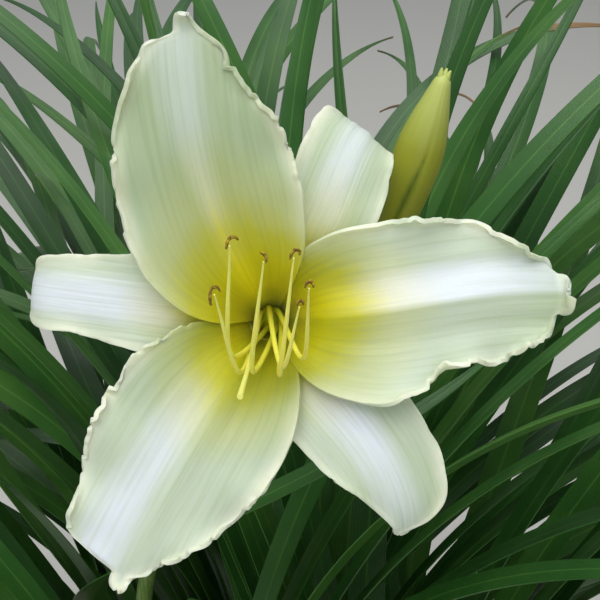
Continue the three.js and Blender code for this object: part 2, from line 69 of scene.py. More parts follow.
def smoothPath(points, count):
    # a centripetal curve through the points, at count + 1 even places
    points = np.array(points, float)
    ends = np.vstack([2 * points[0] - points[1], points, 2 * points[-1] - points[-2]])
    t = np.linspace(0, 1, 60)[:, None]
    fine = []
    for i in range(len(points) - 1):
        a, b, c, d = ends[i:i + 4]
        ta, tb, tc = (np.linalg.norm(q) ** 0.5 for q in (b - a, c - b, d - c))
        leave = ((b - a) / ta - (c - a) / (ta + tb) + (c - b) / tb) * tb
        arrive = ((c - b) / tb - (d - b) / (tb + tc) + (d - c) / tc) * tb
        fine.append(b + leave * t + (3 * (c - b) - 2 * leave - arrive) * t**2
                    + (2 * (b - c) + leave + arrive) * t**3)
    fine = np.vstack(fine)
    run = np.concatenate([[0], np.cumsum(np.linalg.norm(np.diff(fine, axis=0), axis=1))])
    at = np.linspace(0, run[-1], count + 1)
    return np.stack([np.interp(at, run, fine[:, k]) for k in range(3)], -1)


def ripple(x, seed):
    # an uneven wave between about -1 and 1, the same each time
    rng = np.random.default_rng(seed)
    phases, stretch = rng.uniform(0, 2 * np.pi, 4), rng.uniform(0.8, 1.25, 4)
    return sum(np.sin(x * stretch[k] * (1, 0.53, 1.71, 2.6)[k] + phases[k]) * (0.5, 0.3, 0.3, 0.15)[k]
               for k in range(4))


def smoothStep(low, high, x):
    t = np.clip((np.asarray(x, float) - low) / (high - low), 0, 1)
    return t * t * (3 - 2 * t)


def vertexArray(piece):
    places = np.empty(len(piece.data.vertices) * 3)
    piece.data.vertices.foreach_get("co", places)
    return places.reshape(-1, 3)


def setVertices(piece, places):
    piece.data.vertices.foreach_set("co", np.asarray(places, float).ravel())
    piece.data.update()


def pickOnly(*pieces):
    bpy.ops.object.select_all(action="DESELECT")
    for piece in pieces:
        piece.select_set(True)
    bpy.context.view_layer.objects.active = pieces[0]


def applyModifier(piece, kind, **settings):
    pickOnly(piece)
    modifier = piece.modifiers.new(kind, kind)
    for key, value in settings.items():
        setattr(modifier, key, value)
    bpy.ops.object.modifier_apply(modifier=modifier.name)


def editMesh(piece, *steps):
    # runs mesh operators on all of the piece in edit mode
    pickOnly(piece)
    bpy.ops.object.mode_set(mode="EDIT")
    bpy.ops.mesh.select_all(action="SELECT")
    for step in steps:
        step()
    bpy.ops.object.mode_set(mode="OBJECT")


def joinPieces(name, pieces):
    pickOnly(*pieces)
    bpy.ops.object.join()
    joined = bpy.context.object
    joined.name = joined.data.name = name
    return joined


def addValues(piece, name, values):
    # a number for each vertex, or one for all of them, which a material can read
    layer = piece.data.attributes.get(name) or piece.data.attributes.new(name, "FLOAT", "POINT")
    values = np.broadcast_to(values, len(piece.data.vertices))
    layer.data.foreach_set("value", values.astype(np.float32))


def storedValues(piece, name):
    values = np.empty(len(piece.data.vertices), np.float32)
    piece.data.attributes[name].data.foreach_get("value", values)
    return values.astype(float)


def newPiece(name, addShape, **settings):
    # a piece that starts as one of Blender's own shapes
    addShape(**settings)
    piece = bpy.context.object
    piece.name = piece.data.name = name
    return piece


def gridPiece(name, columns, rows, place):
    # a flat grid bent to place(v, s): v runs from 1 on the left to -1 on the right, s from root to tip
    piece = newPiece(name, bpy.ops.mesh.primitive_grid_add, x_subdivisions=columns, y_subdivisions=rows,
                     size=1)
    flat = vertexArray(piece)
    setVertices(piece, place(-2 * flat[:, 0], flat[:, 1] + 0.5) / 1000)
    return piece


def gridPlaces(columns, rows):
    # v and s of a grid's vertices, in the order that the grid primitive makes them
    x = np.linspace(-1, 1, columns + 1)
    return np.tile(-x, rows + 1), np.repeat(np.linspace(0, 1, rows + 1), columns + 1)


def placeObject(name, data):
    thing = bpy.data.objects.new(name, data)
    bpy.context.collection.objects.link(thing)
    return thing


def stemPiece(name, points, radii, steps, sides):
    # a round stem along a smooth curve, with capped ends
    path = smoothPath(points, steps)
    curve = bpy.data.curves.new(name, "CURVE")
    curve.dimensions = "3D"
    curve.bevel_depth = 0.001
    curve.bevel_resolution = sides // 2 - 2
    curve.use_fill_caps = True
    line = curve.splines.new("POLY")
    line.points.add(steps)
    for k, place in enumerate(path):
        line.points[k].co = (*(place / 1000), 1)
        line.points[k].radius = float(along(radii, k / steps))
    pickOnly(placeObject(name, curve))
    bpy.ops.object.convert(target="MESH")
    piece = bpy.context.object
    gaps = np.linalg.norm(vertexArray(piece)[:, None] * 1000 - path[None], axis=2)
    addValues(piece, "along", gaps.argmin(1) / steps)
    return piece


askew = (0.31, 0.22, 0.05)  # a direction that no pod runs along


def podPiece(name, points, radius, rings, sides):
    # a closed pod along a smooth curve: radius(s, turn) in millimetres, with both ends drawn to a point
    piece = newPiece(name, bpy.ops.mesh.primitive_uv_sphere_add, segments=sides, ring_count=rings, radius=1)
    ball = vertexArray(piece)
    s = np.arccos(np.clip(-ball[:, 2], -1, 1)) / np.pi
    turn = np.arctan2(ball[:, 1], ball[:, 0])
    path = smoothPath(points, rings)
    ahead = np.gradient(path, axis=0)
    ahead /= np.linalg.norm(ahead, axis=1, keepdims=True)
    across = np.cross(ahead, askew)
    across /= np.linalg.norm(across, axis=1, keepdims=True)
    third = np.cross(ahead, across)
    i = np.rint(s * rings).astype(int)
    r = np.where((i == 0) | (i == rings), 0, radius(s, turn))[:, None]
    outward = across[i] * np.cos(turn)[:, None] + third[i] * np.sin(turn)[:, None]
    setVertices(piece, (path[i] + r * outward) / 1000)
    addValues(piece, "along", s)
    addValues(piece, "turn", turn)
    return piece


def thicken(piece, shares, thickness):
    # gives a sheet a thickness in millimetres, times each vertex's share of it
    group = piece.vertex_groups.new(name="thickness")
    for k, share in enumerate(shares):
        group.add([k], float(share), "REPLACE")
    applyModifier(piece, "SOLIDIFY", thickness=thickness / 1000, offset=0, vertex_group="thickness",
                  thickness_vertex_group=0.01)


def finishPiece(piece, material, node, angle=60):
    # smooth up to the angle in degrees, dressed, and in the place of the node's solid
    piece.data.materials.clear()
    piece.data.materials.append(material)
    pickOnly(piece)
    bpy.ops.object.shade_smooth_by_angle(angle=math.radians(angle))
    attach(piece, "root")
    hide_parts(node)


def hexColour(code):
    parts = [int(code[k:k + 2], 16) / 255 for k in (1, 3, 5)]
    return [c / 12.92 if c <= 0.04045 else ((c + 0.055) / 1.055) ** 2.4 for c in parts] + [1]


def addNode(tree, kind, inputs={}, **settings):
    # adds a node, sets it, and gives each input a value or a link from another node
    node = tree.nodes.new("ShaderNode" + kind)
    for key, value in settings.items():
        setattr(node, key, value)
    for key, value in inputs.items():
        if isinstance(value, bpy.types.NodeSocket):
            tree.links.new(value, node.inputs[key])
        else:
            node.inputs[key].default_value = value
    return node


def sums(tree, operation, *values):
    # works out one number from others, by one of Blender's operations
    return addNode(tree, "Math", dict(enumerate(values)), operation=operation).outputs[0]


def spread(tree, value, low, high, start=0.0, end=1.0):
    # start where the value is low, end where it is high, and even between them
    ends = {"From Min": low, "From Max": high, "To Min": start, "To Max": end}
    return addNode(tree, "MapRange", {"Value": value} | ends).outputs[0]


def tint(tree, share, colour, code, kind="MIX"):
    # lays a hex colour over another colour, by its share
    inputs = {0: share, 6: colour, 7: hexColour(code)}
    return addNode(tree, "Mix", inputs, data_type="RGBA", blend_type=kind).outputs[2]


def noise(tree, vector, scale, detail, roughness=0.5):
    inputs = {"Vector": vector, "Scale": scale, "Detail": detail, "Roughness": roughness}
    return addNode(tree, "TexNoise", inputs).outputs["Fac"]


def ramp(tree, value, stops):
    # colours that change through places and hex codes, lowest first
    node = addNode(tree, "ValToRGB", {"Fac": value})
    elements = node.color_ramp.elements
    for place, code in stops[1:-1]:
        elements.new(place).color = hexColour(code)
    for k in (0, -1):
        elements[k].position, elements[k].color = stops[k][0], hexColour(stops[k][1])
    return node.outputs["Color"]


def stored(tree, name):
    # a number that addValues keeps on the vertices
    return addNode(tree, "Attribute", attribute_name=name).outputs["Fac"]


def objectPlace(tree):
    return addNode(tree, "TexCoord").outputs["Object"]


def stretched(tree, place, scale):
    return addNode(tree, "Mapping", {"Vector": place, "Scale": scale}).outputs[0]


def linkSurface(tree, shader, colour, height, strength, depth):
    # the colour, and a relief whose depth is in metres
    bump = addNode(tree, "Bump", {"Height": height, "Strength": strength, "Distance": depth})
    tree.links.new(colour, shader.inputs["Base Color"])
    tree.links.new(bump.outputs[0], shader.inputs["Normal"])


def newMaterial(name, **values):
    # a principled material with its fixed values set on the shader's own sockets
    material = bpy.data.materials.new(name)
    material.use_nodes = True
    tree = material.node_tree
    shader = tree.nodes["Principled BSDF"]
    for key, value in values.items():
        shader.inputs[key.replace("_", " ")].default_value = value
    return material, tree, shader


# the camera looks down at the bloom, under soft studio light on a plain floor
view = {"lens": 65, "from": (0.00832, -0.33802, 0.83401), "down": 35}
lights = {  # place, watts, size in metres
    "keyLight": ((-0.25, -0.45, 2.3), 34, 1.8),
    "sideLight": ((0.4, -3.1, 1.8), 22, 2.0),
    "backLight": ((0.3, 1.3, 2.0), 8, 1.5),
}
sky = {"colour": "#e4ebf2", "strength": 0.31}
floorLook = {"colour": "#cfcdc6", "size": 120}

camera = placeObject("camera", bpy.data.cameras.new("camera"))
camera.data.lens = view["lens"]
camera.data.sensor_width = 36
camera.data.clip_start = 0.01
camera.location = view["from"]
camera.rotation_euler = (math.radians(90 - view["down"]), 0, 0)
bpy.context.scene.camera = camera
bpy.context.scene.view_settings.view_transform = "Standard"

for name, (place, watts, size) in lights.items():
    lamp = bpy.data.lights.new(name, "AREA")
    lamp.energy, lamp.size = watts, size
    holder = placeObject(name, lamp)
    holder.location = place
    aim = Vector((0, -0.05, 0.5)) - holder.location
    holder.rotation_euler = aim.to_track_quat("-Z", "Y").to_euler()
    holder.visible_camera = False

world = bpy.context.scene.world or bpy.data.worlds.new("sky")
bpy.context.scene.world = world
world.use_nodes = True
background = world.node_tree.nodes["Background"]
background.inputs["Color"].default_value = hexColour(sky["colour"])
background.inputs["Strength"].default_value = sky["strength"]

floor = newPiece("floor", bpy.ops.mesh.primitive_plane_add, size=floorLook["size"])
floorPaint, tree, shader = newMaterial("mattFloorPaint", Roughness=0.8)
shader.inputs["Base Color"].default_value = hexColour(floorLook["colour"])
floor.data.materials.append(floorPaint)
print("camera, light and floor set")


tepalLook = {
    # the first two grey-green tints are painted shade; the first also stands for greener thin tissue away
    # from the rib
    "thin": "#dde4c8", "paintedShade": "#cbd3bc", "edge": "#eff0d4", "vein": "#cfd6ba",
    "veins": 22,  # on each half, about a millimetre apart
    "veinDepth": 0.16,  # millimetres
    "yellowReach": 60,  # millimetres from the bloom's axis, which the places in the throat are shares of
    "throat": [(0.05, "#b8b404"), (0.14, "#e6d406"), (0.28, "#f3e31a"), (0.4, "#eee45c"),
               (0.54, "#eeeec8"), (0.8, "#e9f2f3")],
}


def tepalMaterial():
    # living petal: waxy cells over watery tissue, so it is matt, faintly translucent and veined
    material, tree, shader = newMaterial(
        "daylilyTepal", Roughness=0.5, IOR=1.4, Subsurface_Weight=0.5, Subsurface_Scale=0.003,
        Sheen_Weight=0.1, Sheen_Roughness=0.4)
    shader.inputs["Subsurface Radius"].default_value = (1.0, 1.0, 0.6)
    look, place = tepalLook, objectPlace(tree)
    lane, reach, margin = (stored(tree, name) for name in ("lane", "reach", "margin"))
    # uneven veins that run from root to tip
    slow = sums(tree, "MULTIPLY", reach, 1.6)
    counted = sums(tree, "MULTIPLY", lane, look["veins"])
    strips = addNode(tree, "CombineXYZ", {"X": counted, "Y": slow}).outputs[0]
    vein = noise(tree, strips, 1.0, 1.5)
    # the colour runs out of the green throat through yellow to cream, in fine streaks
    uneven = noise(tree, place, 40.0, 3.0)
    jitter = sums(tree, "MULTIPLY_ADD", uneven, 0.2, reach)
    streaked = sums(tree, "MULTIPLY_ADD", vein, 0.1, jitter)
    throat = ramp(tree, sums(tree, "ADD", streaked, -0.15), look["throat"])
    # away from the rib's white band the colour is greener, in soft lengthways clouds: partly thinner greener
    # tissue, partly painted shade
    banded = sums(tree, "MULTIPLY", lane, 2.2)
    bands = addNode(tree, "CombineXYZ", {"X": banded, "Y": slow}).outputs[0]
    clouded = sums(tree, "MULTIPLY_ADD", noise(tree, bands, 1.0, 2.0), 0.9, stored(tree, "thin"))
    shaded = tint(tree, spread(tree, clouded, 0.4, 1.35), throat, look["thin"], "MULTIPLY")
    # painted shade: the colour is darkened to grey-green where a tepal lies in shade
    paintedShaded = tint(tree, stored(tree, "paintedShade"), shaded, look["paintedShade"], "MULTIPLY")
    veined = tint(tree, spread(tree, vein, 0.45, 0.75, 0.0, 0.36), paintedShaded, look["vein"], "MULTIPLY")
    # the crimped margin is thicker and a little creamier, in patches, away from the throat
    border = spread(tree, margin, 0.6, 4.5, 0.75, 0.0)
    patchy = sums(tree, "MULTIPLY", border, spread(tree, uneven, 0.35, 0.6, 0.25, 1.0))
    edging = sums(tree, "MULTIPLY", patchy, spread(tree, reach, 0.4, 0.75))
    edged = tint(tree, edging, veined, look["edge"])
    # relief: the veins, and a fine grain of cells half a millimetre across
    height = sums(tree, "MULTIPLY_ADD", noise(tree, place, 1800.0, 1.0), 0.25, vein)
    linkSurface(tree, shader, edged, height, 0.5, look["veinDepth"] / 1000)
    return material


bloom = {"centre": (0, -110, 668), "elevation": 35, "base": -46}
petalPitch = [74, 66, 52, 33, 15, 6, 0, -5, -11]
petalCurl = [0.22, 0.105, 0.052, 0.022, 0.007, 0, -0.004, -0.006, -0.008]
sepalCurl = [0.2, 0.1, 0.05, 0.02, 0, -0.01, -0.014, -0.014, -0.014]
# a list of numbers runs from root to tip; lengths are in millimetres, and left comes before right
# curl is how sharply a tepal is cupped across, in radians for each millimetre
# curlLeft and curlRight are how far a margin rolls up, in radians, over the width of its lip
# crimpLeft and crimpRight are how much that roll comes and goes along the margin
# wave is a height and a count, and nub a share of the length where a rounded tip begins, and its half-widths
# rib is where the white band begins and ends, from right to left, each with its softness; the band is a
# painted highlight on the lit side of the rib, over the rib's own paler tissue
# nicks have a side, a share of the length, a depth, and how far they ease out: towards the tip,
# or towards the root where that is negative
# the painted shade list darkens a tepal's colour to grey-green where it lies in shade, and yellow is how far
# the throat's colours reach
petalShape = {"pitch": petalPitch, "curl": petalCurl, "root": 4.2, "wave": (1.8, 4.5), "lip": (2.8, 2.8),
              "nub": (0.94, 3.2, 3.2), "tipCurl": 0, "pleat": 0.5, "yellow": 1,
              "fold": [0, 0, 2, 4, 5, 5, 4, 4, 4], "rib": [(-2.5, 2, 2.5, 2), (-2.5, 2, 2.5, 2)]}
sepalShape = {"curl": sepalCurl, "root": 5.2, "wave": (0.6, 4), "lip": (1.6, 1.6), "nub": (0.97, 2, 2),
              "tipCurl": 0, "pleat": 0.4, "yellow": 0.82, "fold": [0] * 9,
              "rib": [(-5, 4, 5, 4), (-5, 4, 5, 4)], "paintedShade": [0, 0.1, 0.1], "nicks": [],
              "curlLeft": [0, 0, 0, 0.1, 0.1, 0.1], "curlRight": [0, 0, 0, 0.1, 0.1, 0.1],
              "crimpLeft": [0, 0, 0, 0.3, 0.3, 0.2], "crimpRight": [0, 0, 0, 0.3, 0.3, 0.2]}
tepals = {
    "petalUpper": petalShape | {
        "heading": 121, "length": 96.6, "pitch": [74, 66, 52, 37, 24, 19, 15, 9, -3], "wave": (0.9, 4.5),
        "turn": [0, 0, 0, -2, -8, -14, -19, -22, -25, -28, -40],
        "left": [4.5, 8, 13.5, 18.8, 21.8, 22.3, 21.3, 19.8, 16.2, 9.8, 2],
        "right": [4.5, 8, 13.5, 19.5, 22.5, 24, 23.4, 21.6, 16.2, 11, 2], "phase": 0.3, "yellow": 1.04,
        "nub": (0.935, 1.6, 0), "tipCurl": 70, "root": 3.4,
        "rib": [(-3, 3, 2, 3), (-3, 3, 2, 3), (-4, 4, 10, 6)], "paintedShade": [0, 0, 0.4, 0.8, 0.8, 0.8],
        "nicks": [("right", 0.845, 2.4, 9), ("right", 0.70, 1.0, 5), ("right", 0.77, 0.9, 4),
                  ("left", 0.66, 0.9, 3), ("left", 0.5, 0.6, 4), ("right", 0.6, 0.7, 4)],
        "curlLeft": [0, 0, 0, 0.4, 0.8, 0.9, 0.3], "crimpLeft": [0, 0, 0.1, 0.8, 1.0, 0.7, 0.4],
        "curlRight": [0, 0, 0, 0.1, 0.5, 1.1, 0.6],
        "crimpRight": [0, 0, 0, 0, 0.1, 0.4, 1, 1.6, 2.2, 1.2, 0.3]},
    "petalRight": petalShape | {
        "heading": 2, "length": 91.8, "turn": [0, 0, 1, 3, 5, 7, 7, 6, 3, -2, -6],
        "left": [4.5, 8.3, 15.5, 20.5, 22.5, 22.7, 22.5, 21, 16.5, 11, 6],
        "right": [4.5, 8, 14.5, 20.3, 23.3, 24, 20.8, 18, 17.5, 13.5, 6], "phase": 1.3, "yellow": 0.95,
        "lip": (4.2, 5.4), "nub": (0.945, 4.6, 5.8), "tipCurl": 100, "pleat": 0.8,
        "rib": [(0, 0.9, 9.5, 4), (0, 0.9, 9.5, 4)], "paintedShade": [0.5, 0.7, 0.5, 0, 0, 0.2, 0.8],
        "nicks": [("left", 0.87, 1.6, 4), ("left", 0.78, 0.8, 4), ("left", 0.66, 0.7, 3),
                  ("right", 0.56, 1.8, 6), ("right", 0.68, 1.0, 5), ("right", 0.8, 1.2, 4),
                  ("right", 0.9, 1.0, 3)],
        "fold": [0, 0, -4, -14, -24, -26, -26, -25, -22, -14, 0],
        "curlLeft": [0, 0, 0.2, 1.1, 1.6, 1.6, 0.6], "crimpLeft": [0, 0, 0.1, 0.4, 0.9, 1.6, 0.9],
        "curlRight": [0, 0, 0, 0, 0.1, 1.6, 2.7, 1.7, 1.3, 1.2, 0.6],
        "crimpRight": [0, 0, 0, 0, 0.1, 0.5, 0.9, 0.6, 0.8, 1, 0.8]},
    "petalLower": petalShape | {
        "heading": 242, "length": 91, "turn": [0, 0, 0, -2, -3, -3, -2, -2, -1, 0, 2],
        "left": [4.5, 8, 13.8, 18.2, 20.8, 21.2, 20, 17.4, 13, 7.2, 2],
        "right": [4.5, 8, 14, 21, 25, 26.5, 26.5, 24.5, 20.8, 19, 4], "phase": 2.3, "yellow": 0.88,
        "nub": (0.945, 2.2, 3), "tipCurl": 20, "rib": [(-10, 6, -1, 4), (-15, 6, -3, 4)], "root": 5,
        "paintedShade": [1, 1, 0.4, 0.1, 0.1],
        "nicks": [("right", 0.36, 1.5, -4), ("right", 0.52, 1.6, -5), ("right", 0.72, 1.4, -4),
                  ("right", 0.9, 1.4, -4), ("left", 0.74, 0.8, 4), ("left", 0.62, 0.6, 4),
                  ("left", 0.86, 0.9, 4)],
        "fold": [0, 0, 0, -3, -8, -9, -9, -8, -6, -3, 20],
        "curlLeft": [0, 0, 0, 0.1, 0.9, 1.3, 0.5], "crimpLeft": [0, 0, 0.1, 0.3, 1.3, 1.6, 0.8],
        "curlRight": [0, 0, 0.1, 0.6, 0.8, 0.6, 0.3],
        "crimpRight": [0, 0, 0, 0.8, 1.5, 1.7, 1.7, 1.4, 1, 0.8, 0.5]},
    "sepalLeft": sepalShape | {
        "heading": 181, "length": 85.5, "turn": [0, -4, -10, -12, -10, -9, -8, -8, -8, -8, -8],
        "pitch": [76, 62, 44, 24, 6, -8, -14, -68, -150],
        "left": [3, 5, 9, 12, 12.5, 12, 10.5, 9.5, 9.5, 7, 0.8],
        "right": [3, 5, 9, 12, 13, 13, 12, 11, 10, 7, 0.8], "phase": 0},
    "sepalUpper": sepalShape | {
        "heading": 63.5, "length": 79.5, "turn": [0, -2, -4, -3, -1, 3, 6, 2, -6, -12, -16],
        "pitch": [76, 62, 44, 24, 6, -8, -30, -80, -130],
        "left": [3, 5, 9, 12, 12.5, 12.5, 12.5, 12.5, 12.5, 11, 0.8],
        "right": [3, 5, 9, 11.5, 12.5, 13.5, 13.5, 12.5, 11, 8, 0.8], "phase": 1, "yellow": 0.95,
        "paintedShade": [0, 0.2, 0.5, 0.5]},
    "sepalLower": sepalShape | {
        "heading": 302, "length": 76.5, "turn": [0, 2, 6, 10, 11, 10, 6, 0, -10, -20, -34],
        "pitch": [76, 62, 44, 28, 17, 10, 3, -12, -42],
        "left": [3, 5, 9, 13, 15.5, 16, 16, 15.5, 15, 12, 2],
        "right": [3, 5, 9, 13, 14.5, 14.5, 14, 12.5, 9, 5, 0.8], "phase": 2,
        "paintedShade": [0, 0, 0, 0, 0.5, 0.8], "yellow": 0.74},
}
tepalMesh = {"rows": 200, "columns": 88, "thickness": 0.6, "rootDepth": -27, "crowding": 1.7}


def fromBloom(places):
    # from the bloom's own frame, whose axis is z, to the plant's
    tilt = math.radians(90 - bloom["elevation"])
    x, y, z = np.moveaxis(np.asarray(places, float), -1, 0)
    turned = [x, y * math.cos(tilt) - z * math.sin(tilt), y * math.sin(tilt) + z * math.cos(tilt)]
    return np.stack(turned, -1) + np.array(bloom["centre"], float)


def halfWidths(tepal, v, s):
    # the half-width on v's side, drawn in to a rounded nub at the tip where it has one
    half = np.where(v >= 0, along(tepal["left"], s), along(tepal["right"], s))
    begin, left, right = tepal["nub"]
    nub = np.where(v >= 0, left, right)
    far = np.clip((s - begin) / (1 - begin), 0, 1)
    blend = smoothStep(begin - 0.02, begin + 0.015, s) * (nub > 0)
    return half + (nub * np.sqrt(1 - 0.97 * far**3) - half) * blend


def crimps(run, seed):
    # tight folds of a margin, bunched here and absent there
    bunched = 0.5 + 0.8 * ripple(run * 0.3, seed + 40)
    return np.clip(bunched, 0, 1.3) * ripple(run * 1.2 + 2 * ripple(run * 0.35, seed + 41), seed)


def scallops(run, seed):
    # bulges of a margin some eight millimetres long, with a small notch between them
    bulge = np.abs(np.sin(run * 0.37 + seed + 0.8 * ripple(run * 0.15, seed + 60))) - 0.6
    return bulge * (0.7 + 0.9 * ripple(run * 0.12, seed + 61))


def nicked(tepal, s, left):
    # small tears in a margin: it is drawn in at once, and let out again towards the tip or the root
    drawn = 0 * s
    for side, place, depth, ease in tepal["nicks"]:
        past = (s - place) * tepal["length"] / ease
        drawn += np.where((left == (side == "left")) & (past > 0), depth * np.exp(-np.clip(past, 0, 30)), 0)
    return drawn


def laneAcross(tepal, v, s):
    # veins part from the root and then run side by side until they meet the margin
    even = np.arange(tepalMesh["rows"] + 1) / tepalMesh["rows"]
    i = np.rint(s * tepalMesh["rows"]).astype(int)
    widest = [np.maximum.accumulate(halfWidths(tepal, side, even))[i] for side in (1.0, -1.0)]
    return v * halfWidths(tepal, v, s) / np.where(v >= 0, *widest)


def notZero(bend):
    return np.where(np.abs(bend) < 1e-5, 1e-5, bend)


def tepalRelief(tepal, v, s, seed):
    # broad waves, a fold at the rib and shallow pleats along the veins
    height, count = tepal["wave"]
    run, edge, flat = s * tepal["length"], np.abs(v), v * halfWidths(tepal, v, s)
    swing = 2 * np.pi * count * s + tepal["phase"] + 2.1 * (v > 0)
    waves = height * np.clip((s - 0.35) / 0.25, 0, 1) * edge**3 * np.sin(swing)
    slope = np.tan(np.radians(along(tepal["fold"], s)))
    fold = (np.sqrt(flat**2 + 0.4) - 0.63) * slope * np.exp(-(flat / 13) ** 2)
    lane = laneAcross(tepal, v, s)
    pleats = 0.7 * ripple(lane * 6 + ripple(run / 16, seed + 3), seed + 20)
    pleats = pleats + 0.3 * ripple(lane * 17, seed + 21)
    depth = smoothStep(0.2, 0.45, s) * (1 - edge**4) * (0.7 + 0.6 * ripple(run / 9, seed + 4))
    return waves + fold + tepal["pleat"] * pleats * depth


def rolledMargin(tepal, v, s, seed):
    # places across and up a tepal whose margins roll up and down in tight crimps
    run, edge, half, left = s * tepal["length"], np.abs(v), halfWidths(tepal, v, s), v > 0
    curl = np.where(left, along(tepal["curlLeft"], s), along(tepal["curlRight"], s))
    crimp = np.where(left, along(tepal["crimpLeft"], s), along(tepal["crimpRight"], s))
    crinkle = np.where(left, crimps(run, seed + 1), crimps(run, seed + 2))
    uneven = ripple(run * 0.25, seed + 8 + 3 * left)
    roll = notZero((curl * (1 + 0.5 * uneven) + crimp * crinkle) * smoothStep(1.0, 0.92, s))
    lip = np.minimum(np.where(left, *tepal["lip"]) * (0.8 + 0.6 * uneven), 0.3 * half)
    into = np.clip((edge * half - (half - lip)) / lip, 0, 1)
    notched = np.where(left, scallops(run, seed + 5), scallops(run, seed + 6)) + 0.4 * crinkle
    pushed = 0.9 * crimp * notched - nicked(tepal, s, left)
    inner = np.minimum(edge * half, half - lip)
    across = np.sign(v) * (inner + lip * np.sin(roll * into) / roll + pushed * into**2)
    return across, lip * (1 - np.cos(roll * into)) / roll


def tepalPlaces(tepal, v, s, seed):
    def pitch(q):
        return along(tepal["pitch"], q) + tepal["tipCurl"] * smoothStep(tepal["nub"][0], 1, q)

    root, rows = math.radians(tepal["heading"]), tepalMesh["rows"]
    start = (tepal["root"] * math.cos(root), tepal["root"] * math.sin(root), tepalMesh["rootDepth"])
    rib = ribFrames(start, tepal["length"], rows, pitch,
                    lambda q: tepal["heading"] + along(tepal["turn"], q), lambda q: 0 * q)
    at, side, up = (part[np.rint(s * rows).astype(int)] for part in rib)
    across, rolled = rolledMargin(tepal, v, s, seed)
    bend = notZero(along(tepal["curl"], s))
    lift = tepalRelief(tepal, v, s, seed) + rolled + (1 - np.cos(bend * across)) / bend
    return at + side * (np.sin(bend * across) / bend)[:, None] + up * lift[:, None]


def crowded(v):
    # columns stand closer together towards the margins
    return np.sign(v) * (1 - (1 - np.abs(v)) ** tepalMesh["crowding"])


def tepalPiece(name, tepal, seed, material):
    rows, columns = tepalMesh["rows"], tepalMesh["columns"]
    v, s = gridPlaces(columns, rows)
    v = crowded(v)
    flat = v * halfWidths(tepal, v, s)
    outward = np.hypot(*tepalPlaces(tepal, v, s, seed).T[:2]) / tepalLook["yellowReach"]
    margin = np.minimum((1 - np.abs(v)) * halfWidths(tepal, v, s), (1 - s) * tepal["length"])
    low, lowSoft, high, highSoft = (along(values, s) for values in zip(*tepal["rib"]))
    begun = smoothStep(low - lowSoft, low + lowSoft, flat)
    piece = gridPiece(name, columns, rows, lambda v, s: fromBloom(tepalPlaces(tepal, crowded(v), s, seed)))
    addValues(piece, "lane", laneAcross(tepal, v, s) + 10 * seed)
    addValues(piece, "margin", margin)
    # painted highlight and shade: 0 on the white band along the rib, 1 on the greener rest, which is partly
    # thinner tissue and partly painted shade
    addValues(piece, "thin", 1 - begun * smoothStep(high + highSoft, high - highSoft, flat))
    # painted shade along the tepal, from its list
    addValues(piece, "paintedShade", along(tepal["paintedShade"], s))
    # the yellow stops sooner towards the margins
    addValues(piece, "reach", outward / tepal["yellow"] * (1 + 0.3 * v**2))
    # the crimped margins are twice as thick as the rest
    crimped = smoothStep(2.2, 0.3, margin) * smoothStep(0.25, 0.5, s)
    thicken(piece, 0.5 + 0.5 * crimped, 2 * tepalMesh["thickness"])
    finishPiece(piece, material, "bloom_tepals", angle=70)


tepalSkin = tepalMaterial()
for seed, (name, tepal) in enumerate(tepals.items()):
    tepalPiece(name, tepal, seed + 1, tepalSkin)

# the short tube that the tepals grow out of, spun from its profile
tubeProfile = [(0, -46), (3, -46), (4.2, -41), (4.9, -34), (5.9, -26), (7.0, -21.5), (5.7, -21.5), (3.9, -27),
               (3.6, -34), (2.9, -41), (0, -41)]


def spunPiece(name, profile, steps, turned=lambda places: places):
    # a profile from axis to axis, spun about z
    piece = newPiece(name, bpy.ops.mesh.primitive_circle_add, vertices=len(profile), radius=1,
                     fill_type="NOTHING")
    setVertices(piece, [(r / 1000, 0, z / 1000) for r, z in profile])
    # the circle's edge along the axis comes out first
    editMesh(piece, lambda: bpy.ops.mesh.select_mode(type="EDGE"))
    for edge in piece.data.edges:
        edge.select = all(profile[k][0] == 0 for k in edge.vertices)
    bpy.ops.object.mode_set(mode="EDIT")
    bpy.ops.mesh.delete(type="EDGE_FACE")
    bpy.ops.object.mode_set(mode="OBJECT")
    editMesh(piece,
             lambda: bpy.ops.mesh.spin(steps=steps, angle=2 * math.pi, center=(0, 0, 0), axis=(0, 0, 1)),
             lambda: bpy.ops.mesh.select_all(action="SELECT"),
             lambda: bpy.ops.mesh.remove_doubles(threshold=1e-6),
             lambda: bpy.ops.mesh.normals_make_consistent(inside=False))
    setVertices(piece, turned(vertexArray(piece) * 1000) / 1000)
    return piece


tube = spunPiece("bloomTube", tubeProfile, 36, fromBloom)
for name, value in {"reach": 0, "margin": 9, "lane": 0, "thin": 1, "paintedShade": 0}.items():
    addValues(tube, name, value)
finishPiece(tube, tepalSkin, "bloom_tepals")
print("tepals made")


